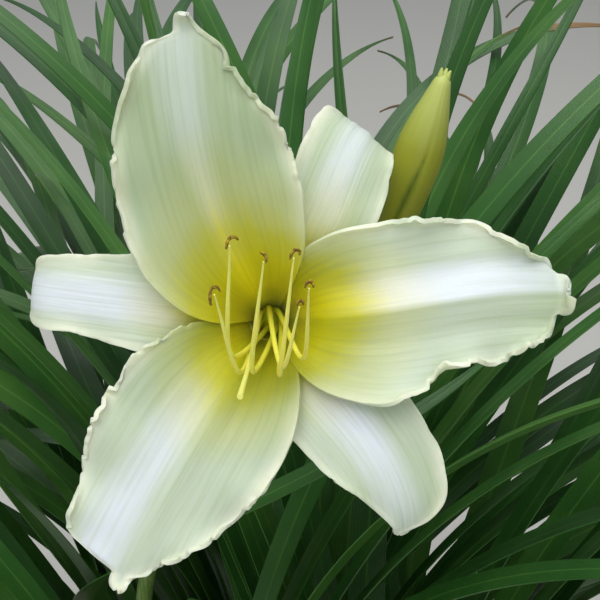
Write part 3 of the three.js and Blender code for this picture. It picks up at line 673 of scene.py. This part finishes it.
stamenLook = {"thread": "#f2ec5c", "foot": "#c4c62a", "tip": "#f2ee7c", "back": "#66500a",
              "pollen": "#b3941a", "style": "#f0ec80", "ovary": "#a3a60a"}
filaments = [  # bend, tip, and the places of its anther round the tip, seen from in front
    ((-6.9, -12.9, 10), (-11.3, 6.4, 34), [(-0.9, -2.6), (-1.0, -0.2), (-0.5, 1.6), (0.6, 1.7), (1.4, 0.6)]),
    ((-9, -8.4, 10), (-7.8, 17.6, 34), [(-0.8, -0.9), (-0.5, 0.9), (0.2, 1.9), (1.3, 2.0), (2.0, 1.3)]),
    ((-3.6, -12.5, 11), (0, 13.9, 35), [(0.6, -0.4), (0.6, 1.0), (-0.1, 1.9), (-0.9, 2.2)]),
    ((3.2, -13.5, 10), (6.9, 14.8, 35), [(-0.9, -0.5), (-0.5, 0.9), (0.4, 1.9), (1.4, 1.5), (1.2, 0.6)]),
    ((9.1, -9.6, 8), (10.4, 7.9, 32), [(-0.9, 0.0), (-0.6, 1.1), (0.1, 1.6), (0.9, 1.1), (1.0, 0.1)]),
    ((4.2, -11.4, 14), (8.2, 3.6, 29), [(-0.8, 0.1), (-0.3, 1.2), (0.6, 1.4), (1.0, 0.4)]),
]
style = ((-4.2, -9.5, 6), (-5.6, -17.2, 31))
threadShape = {"firstTurn": 200, "foot": (1.1, -35), "mouth": (3, -22),
               "filament": [0.95, 0.8, 0.72, 0.64, 0.54, 0.22], "style": [0.9, 0.75, 0.7, 0.62, 0.6, 0.75]}
antherShape = {"lift": 0.3, "sag": 0.25, "radii": [0.26, 0.38, 0.44, 0.44, 0.4, 0.26]}


def threadMaterial(name, foot, middle, tip):
    # a smooth moist thread, with a soft shine and some light through it
    material, tree, shader = newMaterial(name, Roughness=0.4, IOR=1.4, Subsurface_Weight=0.4,
                                         Subsurface_Scale=0.002)
    colour = ramp(tree, stored(tree, "along"), [(0.2, foot), (0.5, middle), (1.0, tip)])
    linkSurface(tree, shader, colour, noise(tree, objectPlace(tree), 1500.0, 1.0), 0.2, 0.00005)
    return material


def antherMaterial():
    # a dry split anther, dull brown under grains of golden pollen
    material, tree, shader = newMaterial("splitAnther", Roughness=0.85)
    grain = noise(tree, objectPlace(tree), 1300.0, 3.0)
    colour = ramp(tree, grain, [(0.45, stamenLook["back"]), (0.68, stamenLook["pollen"])])
    linkSurface(tree, shader, colour, grain, 0.6, 0.0003)
    return material


def threadPath(k, bend, tip):
    # from a foot on the ovary out through the mouth of the tube
    turn = 2 * math.pi * k / (len(filaments) + 1) + math.radians(threadShape["firstTurn"])
    inside = [(radius * math.cos(turn), radius * math.sin(turn), height)
              for radius, height in (threadShape["foot"], threadShape["mouth"])]
    return fromBloom([*inside, bend, tip])


threadSkin = threadMaterial("stamenFilament", stamenLook["foot"], stamenLook["thread"], stamenLook["tip"])
styleSkin = threadMaterial("moistStyle", stamenLook["foot"], stamenLook["tip"], stamenLook["style"])
ovarySkin = threadMaterial("ovaryTop", stamenLook["ovary"], stamenLook["ovary"], stamenLook["ovary"])
antherSkin = antherMaterial()
for k, (bend, tip, hook) in enumerate(filaments):
    thread = stemPiece(f"filament{k + 1}", threadPath(k, bend, tip), threadShape["filament"], 80, 14)
    finishPiece(thread, threadSkin, "bloom_stamens")
    arch = [(tip[0] + x, tip[1] + y, tip[2] + antherShape["lift"] - antherShape["sag"] * (x * x + y * y))
            for x, y in hook]
    anther = podPiece(f"anther{k + 1}", fromBloom(arch),
                      lambda s, t: along(antherShape["radii"], s) * (0.8 + 0.25 * np.abs(np.cos(t))), 28, 20)
    finishPiece(anther, antherSkin, "bloom_stamens")

styleThread = stemPiece("style", threadPath(len(filaments), *style), threadShape["style"], 80, 16)
finishPiece(styleThread, styleSkin, "bloom_stamens")
ovary = podPiece("ovary", fromBloom([(0, 0, -40.7), (0, 0, -34), (0, 0, -23)]),
                 lambda s, t: along([1.9, 2.6, 3.2, 3.7, 3.9, 2.8], s) * (1 + 0.06 * np.cos(3 * t)), 20, 24)
finishPiece(ovary, ovarySkin, "bloom_stamens")
print("stamens and style made")


budLook = {"light": "#93982b", "mid": "#65731b", "seam": "#4d5f14", "tip": "#c0cc74",
           "wind": 75}  # degrees that the seams wind from foot to tip
buds = {
    "budOpening": {"foot": (29, -73, 648), "tip": (48, -60, 715), "node": "bud_opening", "twist": 40,
                   "radii": [2.6, 3.1, 3.8, 4.7, 5.6, 6.4, 7, 6.9, 5.6, 3.7, 2], "stalk": [2.4, 2.2, 2.2]},
    "budYoung1": {"foot": (-11, -45, 629), "tip": (-19, -37, 659), "node": "bud_young_1", "twist": -38,
                  "radii": [1.9, 2.6, 3.5, 4, 3.6, 2.4, 0.7], "stalk": [2.2, 1.8, 1.5]},
    "budYoung2": {"foot": (5, -41, 626), "tip": (9, -32, 647), "node": "bud_young_2", "twist": 2,
                  "radii": [1.6, 2.2, 2.9, 3, 2.4, 0.6], "stalk": [2.2, 1.8, 1.5]},
}


def budMaterial():
    # closed sepals, thick and waxy: yellow-green along their ribs, darker in the seams between them
    material, tree, shader = newMaterial("budSepals", Roughness=0.42, IOR=1.42, Subsurface_Weight=0.1,
                                         Subsurface_Scale=0.002)
    look, uneven = budLook, noise(tree, objectPlace(tree), 90.0, 4.0)
    mixed = sums(tree, "MULTIPLY_ADD", uneven, 0.5, stored(tree, "ridge"))
    colour = ramp(tree, mixed, [(0.28, look["seam"]), (0.5, look["mid"]), (0.85, look["light"])])
    tipped = tint(tree, spread(tree, stored(tree, "along"), 0.7, 1.05), colour, look["tip"])
    vein = sums(tree, "SINE", sums(tree, "MULTIPLY", stored(tree, "turn"), 18.0))
    linkSurface(tree, shader, tipped, vein, 0.2, 0.0001)
    return material


def ridges(bud, s, turn):
    # 1 along the middle of each outer sepal, 0 along the seams, which wind a little and close upwards
    ridge = np.abs(np.cos(1.5 * (turn - np.radians(bud["twist"] + budLook["wind"] * s)))) ** 0.5
    return 1 - (1 - ridge) * smoothStep(0.95, 0.55, s)


def budRadius(bud, s, turn):
    body = along(bud["radii"], s) * np.where(s > 0.97, np.sqrt(np.clip((1 - s) / 0.03, 0, 1)), 1)
    return body * (0.94 + 0.08 * ridges(bud, s, turn))


budSkin = budMaterial()
for name, bud in buds.items():
    foot, tip = np.array([bud["foot"], bud["tip"]], float)
    piece = podPiece(name, [foot, (foot + tip) / 2, tip], lambda s, turn: budRadius(bud, s, turn), 72, 72)
    addValues(piece, "ridge", ridges(bud, storedValues(piece, "along"), storedValues(piece, "turn")))
    finishPiece(piece, budSkin, bud["node"])

# the opening bud ends in the free points of its sepals, at these turns round its tip
pointTurns, turnsFrom = np.radians([200, 340, 90]), (0, -0.57, 0.82)
foot, tip = np.array([buds["budOpening"]["foot"], buds["budOpening"]["tip"]], float)
ahead = (tip - foot) / np.linalg.norm(tip - foot)
across = np.cross(ahead, turnsFrom)
across /= np.linalg.norm(across)
for k, turn in enumerate(pointTurns):
    outward = across * np.cos(turn) + np.cross(ahead, across) * np.sin(turn)
    path = [tip - 3 * ahead + 0.8 * outward, tip - 0.8 * ahead + outward, tip + 1.3 * ahead + 1.4 * outward]
    point = podPiece(f"budPoint{k + 1}", path, lambda s, t: along([0.6, 0.9, 0.9, 0.6, 0.25], s), 16, 12)
    addValues(point, "along", 1)
    addValues(point, "ridge", 1)
    finishPiece(point, budSkin, "bud_opening")
print("buds made")


scapeLook = {"stem": "#7f9f4c", "dark": "#5f8438", "bloomWax": "#9db37c"}
scapePoints = [(-60, -14, 182), (-60, -14, 228), (-66, -12, 340), (-61, -16, 450), (-34, -31, 540),
               (-6, -50, 604)]
scapeRadii = [4.4, 4.3, 4.1, 3.8, 3.5, 3.1, 2.8]
# each stalk: the foot of what it carries, a place beyond that, and its radii
stalks = [(fromBloom((0, 0, bloom["base"])), bloom["centre"], [2.4, 2.4, 2.6])]
stalks += [(bud["foot"], bud["tip"], bud["stalk"]) for bud in buds.values()]
bracts = [  # foot, heading, length, half-width
    ((-5, -52, 597), -25, 34, 4.5), ((-9, -47, 595), 140, 28, 4.2), ((-65.5, -15, 372), 200, 46, 4.6)]


def stemMaterial():
    # a firm stem with a thin wax, so a soft shine, and fine streaks along it
    material, tree, shader = newMaterial("waxyScape", Roughness=0.45, IOR=1.42)
    streak = noise(tree, stretched(tree, objectPlace(tree), (1, 1, 0.08)), 900.0, 3.0)
    colour = ramp(tree, streak, [(0.3, scapeLook["dark"]), (0.5, scapeLook["stem"]),
                                 (0.75, scapeLook["bloomWax"])])
    linkSurface(tree, shader, colour, streak, 0.3, 0.0002)
    return material


def bladePiece(name, rib, halfWidths, folds, columns, keel, thin):
    # a folded blade with a rounded valley: keel and thin are its thickness at the valley and the edges
    at, side, up = rib
    rows = len(at) - 1

    def place(v, s):
        i = np.rint(s * rows).astype(int)
        w = v * halfWidths[i]
        soft = 0.5 + 0.06 * halfWidths[i]
        lift = (np.sqrt(w**2 + soft**2) - soft) * np.tan(np.radians(folds[i]))
        return at[i] + side[i] * w[:, None] + up[i] * lift[:, None]

    piece = gridPiece(name, columns, rows, place)
    v, s = gridPlaces(columns, rows)
    thicken(piece, np.clip(thin / keel + (1 - thin / keel) * (1 - np.abs(v)) ** 1.5, 0, 1), keel)
    return piece


fork = np.array(scapePoints[-1], float)
parts = [stemPiece("stem", scapePoints, scapeRadii, 90, 20)]
for k, (foot, beyond, radii) in enumerate(stalks):
    foot, beyond = np.array([foot, beyond], float)
    back = (foot - beyond) / np.linalg.norm(foot - beyond)
    path = [fork - (0, 0, 5), foot + back * 10, foot + back * 3, foot + back * 0.3]
    parts.append(stemPiece(f"stalk{k}", path, radii, 24, 14))
for k, (foot, heading, length, width) in enumerate(bracts):
    steps = 24
    s = np.arange(steps + 1) / steps
    rib = ribFrames(foot, length, steps, lambda q: 78 - 18 * q, lambda q: heading + 0 * q, lambda q: 0 * q)
    parts.append(bladePiece(f"bract{k}", rib, width * along([0.8, 1, 0.85, 0.5, 0.06], s),
                            np.full(steps + 1, 40.0), 10, 0.9, 0.4))
finishPiece(joinPieces("scape", parts), stemMaterial(), "scape")
print("scape made")


leafLook = {"light": "#5c8a3c", "mid": "#2e5e22", "dark": "#193e13", "root": "#a9b878", "dry": "#8a6a40",
            "lines": 8}  # on each half
leafMesh = {"columns": 8, "keel": 1.5, "thin": 0.45}
crown = {"long": 17, "wide": 8.5, "sunk": 28, "proud": 16, "leafFoot": 5.5,
         "radii": [0.8, 0.98, 1, 1, 0.96, 0.8, 0.55]}
leafSize = {"length": 590, "halfWidth": 8, "outward": 25}
fanRing = {"radius": 72, "firstAngle": 22, "turns": [-45, 50, -50, -55, 50], "leaves": 16}
middleFan = {"radius": 6, "outward": 82, "plane": -8, "leaves": 12}
growth = {"seed": 1, "tries": 1500, "loosens": 5, "columnHeight": 60, "columnRadius": 19}
slender = {"seed": 11, "tries": 600, "halfWidth": 6, "length": 0.93, "leaves": [16, 14, 26, 26, 14, 16]}
leafWidths = [0.7, 0.8, 0.92, 1, 1, 0.96, 0.88, 0.76, 0.6, 0.38, 0.05]
soilTop, leafSteps = 210, 100
# leaves of one fan may meet below sheathEnd, and any leaves below rootEnd, in shares of their length
sheathEnd, rootEnd = 0.45, 0.06
space = {"cell": 5, "low": (-620, -620, 180), "across": 248, "tall": 130}  # cells that leaves lay claim to


class Draws:
    # the same sequence of numbers between 0 and 1 every time
    def __init__(self, seed):
        self.state, self.ahead = seed, []

    def peek(self, count):
        while len(self.ahead) < count:
            self.state = self.state * 16807 % 2147483647
            self.ahead.append(self.state / 2147483647)
        return np.array(self.ahead[:count])

    def drop(self, count):
        del self.ahead[:count]


def level(radius, angle):
    return np.array([radius * math.cos(math.radians(angle)), radius * math.sin(math.radians(angle)), 0])


def fanAt(number, radius, outward, plane, leaves):
    centre = level(radius, outward)
    foot = centre + (0, 0, soilTop)
    column = (foot, foot + (0, 0, growth["columnHeight"]), growth["columnRadius"])
    return {"number": number, "centre": centre, "outward": outward, "plane": plane, "leaves": leaves,
            "column": column, "grown": []}


def drawLeaves(fan, k, tries, draw):
    # leaf k of a fan, drawn once for each number in tries: a dictionary of lists
    age = k / (fan["leaves"] - 1)
    rank = fan["plane"] + (180 if k % 2 else 0)
    reach = 2 + (crown["long"] - 5) * age
    offset = fan["outward"] - rank
    inward = (1 - math.cos(math.radians(offset))) / 2
    loose = 1 + growth["loosens"] * tries / growth["tries"]
    foot = fan["centre"] + level(reach, rank)
    foot[2] = soilTop + crown["leafFoot"]
    d = draw.T
    return {
        "foot": foot,
        "heading": rank + (d[0] - 0.5) * 24 * loose,
        "rise": 89 - (16 - 10 * inward) * age - 4 * d[1],
        "droop": 58 + (88 - 20 * inward) * age + (d[2] - 0.5) * (34 + 8 * loose),
        "late": 1.4 + 0.8 * inward + 0.3 * d[3],
        "sweep": leafSize["outward"] * math.sin(math.radians(offset)) + (d[4] - 0.5) * 90 * loose,
        "roll": (d[5] - 0.5) * 70,
        "length": leafSize["length"] * (0.74 + 0.22 * math.sin(math.pi * min(1, age + 0.15)) + 0.18 * d[6]),
        "halfWidth": leafSize["halfWidth"] * (0.86 + 0.2 * d[7]),
    }


def leafRib(leaf):
    rise, droop, late, heading, sweep, roll = (
        np.asarray(leaf[key])[..., None] for key in ("rise", "droop", "late", "heading", "sweep", "roll"))
    return ribFrames(leaf["foot"], leaf["length"], leafSteps, lambda s: rise - droop * s**late,
                     lambda s: heading + sweep * s, lambda s: roll * s)


def leafFold(s):
    return 40 - 28 * np.minimum(1, s / 0.5)


def leafSamples(leaf):
    # points across and along each drawn leaf, past its root
    s = np.arange(leafSteps + 1) / leafSteps
    kept = s > rootEnd
    at, side, up = (part[..., kept, :] for part in leafRib(leaf))
    s = s[kept]
    across = np.arange(-2, 3) / 2
    w = np.asarray(leaf["halfWidth"])[:, None, None] * along(leafWidths, s)[:, None] * across
    lift = np.abs(w) * np.tan(np.radians(leafFold(s)))[:, None]
    places = at[..., None, :] + side[..., None, :] * w[..., None] + up[..., None, :] * lift[..., None]
    return places, np.repeat((s > sheathEnd)[:, None], len(across), 1)


def cellIndex(places):
    x, y, z = np.moveaxis(np.floor((places - np.array(space["low"])) / space["cell"]).astype(int), -1, 0)
    return x + space["across"] * (y + space["across"] * z)


def reaches(zone, places):
    start, end, radius = (np.asarray(part, float) for part in zone)
    axis = end - start
    share = np.clip((places - start) @ axis / (axis @ axis), 0, 1)
    return np.linalg.norm(places - (start + share[..., None] * axis), axis=-1) < radius


def growLeaf(fan, k, source, claims, zones, shifts, kind):
    # a leaf is drawn again, ever more loosely, until it is clear of the leaves before it
    first, batch = 0, 8
    while first < kind["tries"]:
        batch = min(batch, kind["tries"] - first)
        draw = source.peek(8 * batch).reshape(batch, 8)
        leaf = drawLeaves(fan, k, first + np.arange(batch), draw)
        leaf["halfWidth"] = leaf["halfWidth"] * kind["halfWidth"] / leafSize["halfWidth"]
        leaf["length"] = leaf["length"] * kind["length"]
        places, parted = leafSamples(leaf)
        cells = cellIndex(places)
        inside = (cells >= 0) & (cells < len(claims))
        claim = np.where(inside, claims[np.clip(cells, 0, len(claims) - 1)], 0)
        taken = (claim > 0) & ((claim >> 1 != fan["number"]) | ((claim % 2 == 1) & parted))
        free = np.flatnonzero(~taken.any((1, 2)))
        found = [j for j in free if not any(reaches(zone, places[j]).any() for zone in zones)][:1]
        if not found:
            source.drop(8 * batch)
            first, batch = first + batch, min(128, 2 * batch)
            continue
        j = found[0]
        source.drop(8 * (j + 1))
        for mark in (False, True):
            spots = cells[j][inside[j] & (parted == mark)]
            for shift in shifts:
                claims[spots + shift] = 2 * fan["number"] + mark
        fan["grown"].append({key: value if key == "foot" else value[j] for key, value in leaf.items()}
                            | {"age": k / (fan["leaves"] - 1)})
        return


def markLeaves(fans, claims):
    # the cells that the leaves so far pass through, and no more
    for fan in fans:
        for leaf in fan["grown"]:
            alone = {key: value if key == "foot" else np.array([value]) for key, value in leaf.items()}
            places, parted = leafSamples(alone)
            for mark in (False, True):
                claims[cellIndex(places)[0][parted == mark]] = 2 * fan["number"] + mark


def growFoliage():
    centre = np.array(bloom["centre"], float)
    bud = buds["budOpening"]
    clear = [(centre, centre + 300 * (fromBloom((0, 0, 1)) - centre), 86),
             (fromBloom((0, 0, -45)), centre, 60), (bud["foot"], bud["tip"], 18)]
    clear += [(scapePoints[k], scapePoints[k + 1], 9 + k) for k in range(len(scapePoints) - 1)]
    fans = [fanAt(1, middleFan["radius"], middleFan["outward"], middleFan["plane"], middleFan["leaves"])]
    for k, turn in enumerate(fanRing["turns"]):
        outward = fanRing["firstAngle"] + 360 / len(fanRing["turns"]) * k
        fans.append(fanAt(k + 2, fanRing["radius"], outward, outward + turn, fanRing["leaves"]))
    zones = [clear + [other["column"] for other in fans if other is not fan] for fan in fans]
    near = [dx + space["across"] * (dy + space["across"] * dz)
            for dx in (-1, 0, 1) for dy in (-1, 0, 1) for dz in (-1, 0, 1)]
    claims = np.zeros(space["across"] ** 2 * space["tall"], np.uint8)
    source = Draws(growth["seed"])
    main = {"tries": growth["tries"], "halfWidth": leafSize["halfWidth"], "length": 1}
    for turn in range(1, fanRing["leaves"] + 1):
        for fan, zone in zip(fans, zones):
            if turn <= fan["leaves"]:
                growLeaf(fan, fan["leaves"] - turn, source, claims, zone, near, main)
    # slender young leaves come up between them
    claims[:] = 0
    markLeaves(fans, claims)
    source = Draws(slender["seed"])
    for turn in range(max(slender["leaves"])):
        for fan, zone, leaves in zip(fans, zones, slender["leaves"]):
            if turn < leaves:
                growLeaf(fan, (7 * turn + 3) % fan["leaves"], source, claims, zone, [0], slender)
    return fans


def leafMaterial():
    # a strap leaf, glossy under a slight wax and finely lined
    material, tree, shader = newMaterial("daylilyLeaf", Roughness=0.34, IOR=1.5, Subsurface_Weight=0.05,
                                         Subsurface_Scale=0.002)
    look, uneven = leafLook, noise(tree, objectPlace(tree), 30.0, 4.0)
    uv = addNode(tree, "UVMap", uv_map="UVMap").outputs["UV"]
    axes = addNode(tree, "SeparateXYZ", {"Vector": uv}).outputs
    # fine lines along the leaf, about a millimetre apart
    line = sums(tree, "COSINE", sums(tree, "MULTIPLY", axes["X"], look["lines"] * 4 * math.pi))
    mixed = sums(tree, "MULTIPLY_ADD", uneven, 0.55, stored(tree, "tone"))
    lined = sums(tree, "MULTIPLY_ADD", line, 0.09, mixed)
    # the channel along the middle is paler: partly a paler midrib, partly a painted highlight along the keel
    apart = sums(tree, "ABSOLUTE", sums(tree, "SUBTRACT", axes["X"], 0.5))
    keelHighlighted = sums(tree, "ADD", lined, spread(tree, apart, 0.0, 0.06, 0.3, 0.0))
    green = ramp(tree, keelHighlighted, [(0.15, look["dark"]), (0.5, look["mid"]), (1.0, look["light"])])
    # the sheathing root is pale, and the tips of old leaves are dry
    rooted = tint(tree, spread(tree, axes["Y"], 0.0, 0.14, 0.85, 0.0), green, look["root"])
    ragged = sums(tree, "MULTIPLY_ADD", uneven, 0.5, stored(tree, "dry"))
    tipped = tint(tree, spread(tree, ragged, 0.6, 0.75), rooted, look["dry"])
    linkSurface(tree, shader, tipped, line, 0.3, 0.00012)
    return material


def leafPiece(name, leaf, number):
    s = np.arange(leafSteps + 1) / leafSteps
    piece = bladePiece(name, leafRib(leaf), leaf["halfWidth"] * along(leafWidths, s), leafFold(s),
                       leafMesh["columns"], leafMesh["keel"], leafMesh["thin"])
    rng = np.random.default_rng(number)
    addValues(piece, "tone", rng.uniform(0.0, 0.42))
    tips = rng.uniform(-0.5, 0.4) if leaf["age"] > 0.6 else -0.5
    ends = np.resize(gridPlaces(leafMesh["columns"], leafSteps)[1], len(piece.data.vertices))
    addValues(piece, "dry", np.clip((ends - 0.86) / 0.14, 0, 1) + tips - 0.5 + 0.5 * (ends > 0.9))
    return piece


def crownPiece(fan):
    # as pale as the roots of its leaves, with brown patches of old sheaths
    def radius(s, turn):
        turn = turn - math.radians(fan["plane"])
        oval = 1 / np.sqrt((np.cos(turn) / crown["long"]) ** 2 + (np.sin(turn) / crown["wide"]) ** 2)
        return oval * along(crown["radii"], s)

    x, y = fan["centre"][:2]
    low, high = soilTop - crown["sunk"], soilTop + crown["proud"]
    piece = podPiece("crown", [(x, y, low), (x, y, (low + high) / 2), (x, y, high)],
                     lambda s, turn: radius(s, turn) * (1 + 0.03 * np.cos(9 * turn)), 20, 36)
    addValues(piece, "tone", 0.3)
    addValues(piece, "dry", 0.42)
    # its texture places all lie near the root
    corners = piece.data.uv_layers["UVMap"].uv
    places = np.zeros(2 * len(corners), np.float32)
    corners.foreach_get("vector", places)
    places[1::2] *= 0.1
    corners.foreach_set("vector", places)
    return piece


fans = growFoliage()
print("leaves placed:", [len(fan["grown"]) for fan in fans])
leafSkin = leafMaterial()
number = 0
for fan in fans:
    parts = []
    for leaf in fan["grown"]:
        number += 1
        parts.append(leafPiece(f"leaf{number}", leaf, number))
    piece = joinPieces(f"leafFan{fan['number']}", [*parts, crownPiece(fan)])
    finishPiece(piece, leafSkin, f"leaf_fan_{fan['number']}", angle=50)
print("leaves made")


pot = {"height": 235, "topRadius": 122, "baseRadius": 88, "wall": 9, "floor": 11, "rimHeight": 34,
       "rimProud": 8}
drain = {"count": 3, "radius": 7, "ring": 46}
clayLook = {"clay": "#b26a48", "dark": "#94523a", "pale": "#cf9a7c", "lime": "#d8c3ae"}


def innerRadius(z):
    return pot["baseRadius"] + (pot["topRadius"] - pot["baseRadius"]) * z / pot["height"] - pot["wall"]


def clayMaterial():
    # unglazed terracotta, dry and porous: dull, cloudy, finely ringed and faintly limed
    material, tree, shader = newMaterial("terracotta", Roughness=0.88)
    place, look = objectPlace(tree), clayLook
    colour = ramp(tree, noise(tree, place, 14.0, 5.0), [(0.3, look["dark"]), (0.5, look["clay"]),
                                                        (0.75, look["pale"])])
    limed = spread(tree, noise(tree, place, 32.0, 6.0, 0.7), 0.56, 0.72, 0.0, 0.45)
    ring = noise(tree, stretched(tree, place, (0.15, 0.15, 1)), 260.0, 2.0)
    height = sums(tree, "MULTIPLY_ADD", ring, 0.8, noise(tree, place, 900.0, 3.0))
    linkSurface(tree, shader, tint(tree, limed, colour, look["lime"]), height, 0.4, 0.0006)
    return material


rimFoot = pot["height"] - pot["rimHeight"]
outerFoot = innerRadius(rimFoot) + pot["wall"]
potProfile = [
    (0, 0), (pot["baseRadius"] - 3, 0), (pot["baseRadius"], 3), (outerFoot, rimFoot),
    (outerFoot + pot["rimProud"] - 2, rimFoot), (outerFoot + pot["rimProud"], rimFoot + 2),
    (pot["topRadius"] + pot["rimProud"], pot["height"] - 3),
    (pot["topRadius"] + pot["rimProud"] - 3, pot["height"]),
    (pot["topRadius"] - pot["wall"] + 2, pot["height"]),
    (innerRadius(pot["height"] - 2), pot["height"] - 2),
    (innerRadius(pot["floor"]), pot["floor"]), (0, pot["floor"]),
]
clayPot = spunPiece("clayPot", potProfile, 120)
applyModifier(clayPot, "BEVEL", width=0.0012, segments=3, limit_method="ANGLE", angle_limit=math.radians(25))
for k in range(drain["count"]):
    turn = 2 * math.pi * k / drain["count"]
    x, y = drain["ring"] * math.cos(turn) / 1000, drain["ring"] * math.sin(turn) / 1000
    bore = newPiece("bore", bpy.ops.mesh.primitive_cylinder_add, vertices=48,
                    radius=drain["radius"] / 1000, depth=0.04, location=(x, y, 0.005))
    applyModifier(clayPot, "BOOLEAN", operation="DIFFERENCE", solver="EXACT", object=bore)
    bpy.data.objects.remove(bore)
finishPiece(clayPot, clayMaterial(), "clay_pot", angle=40)
print("pot made")


soil = {"dome": 4, "depth": 40, "crumbs": 420, "seed": 5, "rough": 1.4}
soilLook = {"dark": "#1f150e", "mid": "#3a281b", "light": "#5a4330", "grain": "#c9c2b2"}


def soilMaterial():
    # dark moist peat in crumbs, with a few white grains
    material, tree, shader = newMaterial("pottingSoil", Roughness=0.95)
    place, look = objectPlace(tree), soilLook
    crumb = addNode(tree, "TexVoronoi", {"Vector": place, "Scale": 330.0}).outputs["Distance"]
    mixed = sums(tree, "MULTIPLY_ADD", noise(tree, place, 120.0, 6.0), 0.8, stored(tree, "tone"))
    colour = ramp(tree, mixed, [(0.25, look["dark"]), (0.45, look["mid"]), (0.65, look["light"]),
                                (1.0, look["grain"])])
    linkSurface(tree, shader, colour, crumb, 0.7, 0.0015)
    return material


def soilHeight(x, y):
    edge = innerRadius(soilTop) - 0.3
    share = np.clip(np.hypot(x, y) / edge, 0, 1)
    rough = soil["rough"] * ripple(x * 0.31 + 3 * ripple(y * 0.12, 3), 1) * ripple(y * 0.27, 2)
    return soilTop + soil["dome"] * (1 - share**2) + rough * (1 - share**8)


def soilPlaces(v, s):
    # a square grid drawn out to a disc
    a, b = -v, 2 * s - 1
    reach = np.maximum(np.abs(a), np.abs(b)) * (innerRadius(soilTop) - 0.6)
    turn = np.arctan2(b, a)
    x, y = reach * np.cos(turn), reach * np.sin(turn)
    return np.stack([x, y, soilHeight(x, y)], -1)


def crumbPiece(k, ball, rng):
    # a lumpy crumb at a chance place on the soil
    reach, turn = (innerRadius(soilTop) - 7) * math.sqrt(rng.random()), rng.uniform(0, 2 * math.pi)
    x, y = reach * math.cos(turn), reach * math.sin(turn)
    size = rng.uniform(0.9, 3.2) * np.array([1, rng.uniform(0.6, 1), rng.uniform(0.5, 0.8)])
    lumpy = ball * (1 + 0.22 * ripple(ball @ rng.uniform(-3, 3, 3), k))[:, None]
    twist = rng.uniform(0, math.pi)
    twisted = lumpy @ np.array([[math.cos(twist), math.sin(twist), 0],
                                [-math.sin(twist), math.cos(twist), 0], [0, 0, 1]])
    crumb = placeObject(f"crumb{k}", crumbModel.data.copy())
    setVertices(crumb, (twisted * size + (x, y, float(soilHeight(x, y)) + 0.4 * size[2])) / 1000)
    addValues(crumb, "tone", 0.55 if rng.random() < 0.07 else rng.uniform(-0.15, 0.15))
    return crumb


soilBody = gridPiece("soilBody", 96, 96, soilPlaces)
applyModifier(soilBody, "SOLIDIFY", thickness=soil["depth"] / 1000, offset=-1)
addValues(soilBody, "tone", 0)
rng = np.random.default_rng(soil["seed"])
crumbModel = newPiece("crumbModel", bpy.ops.mesh.primitive_ico_sphere_add, subdivisions=2, radius=1)
ball = vertexArray(crumbModel)
crumbs = [crumbPiece(k, ball, rng) for k in range(soil["crumbs"])]
bpy.data.objects.remove(crumbModel)
finishPiece(joinPieces("pottingSoil", [soilBody, *crumbs]), soilMaterial(), "potting_soil")
print("soil made")
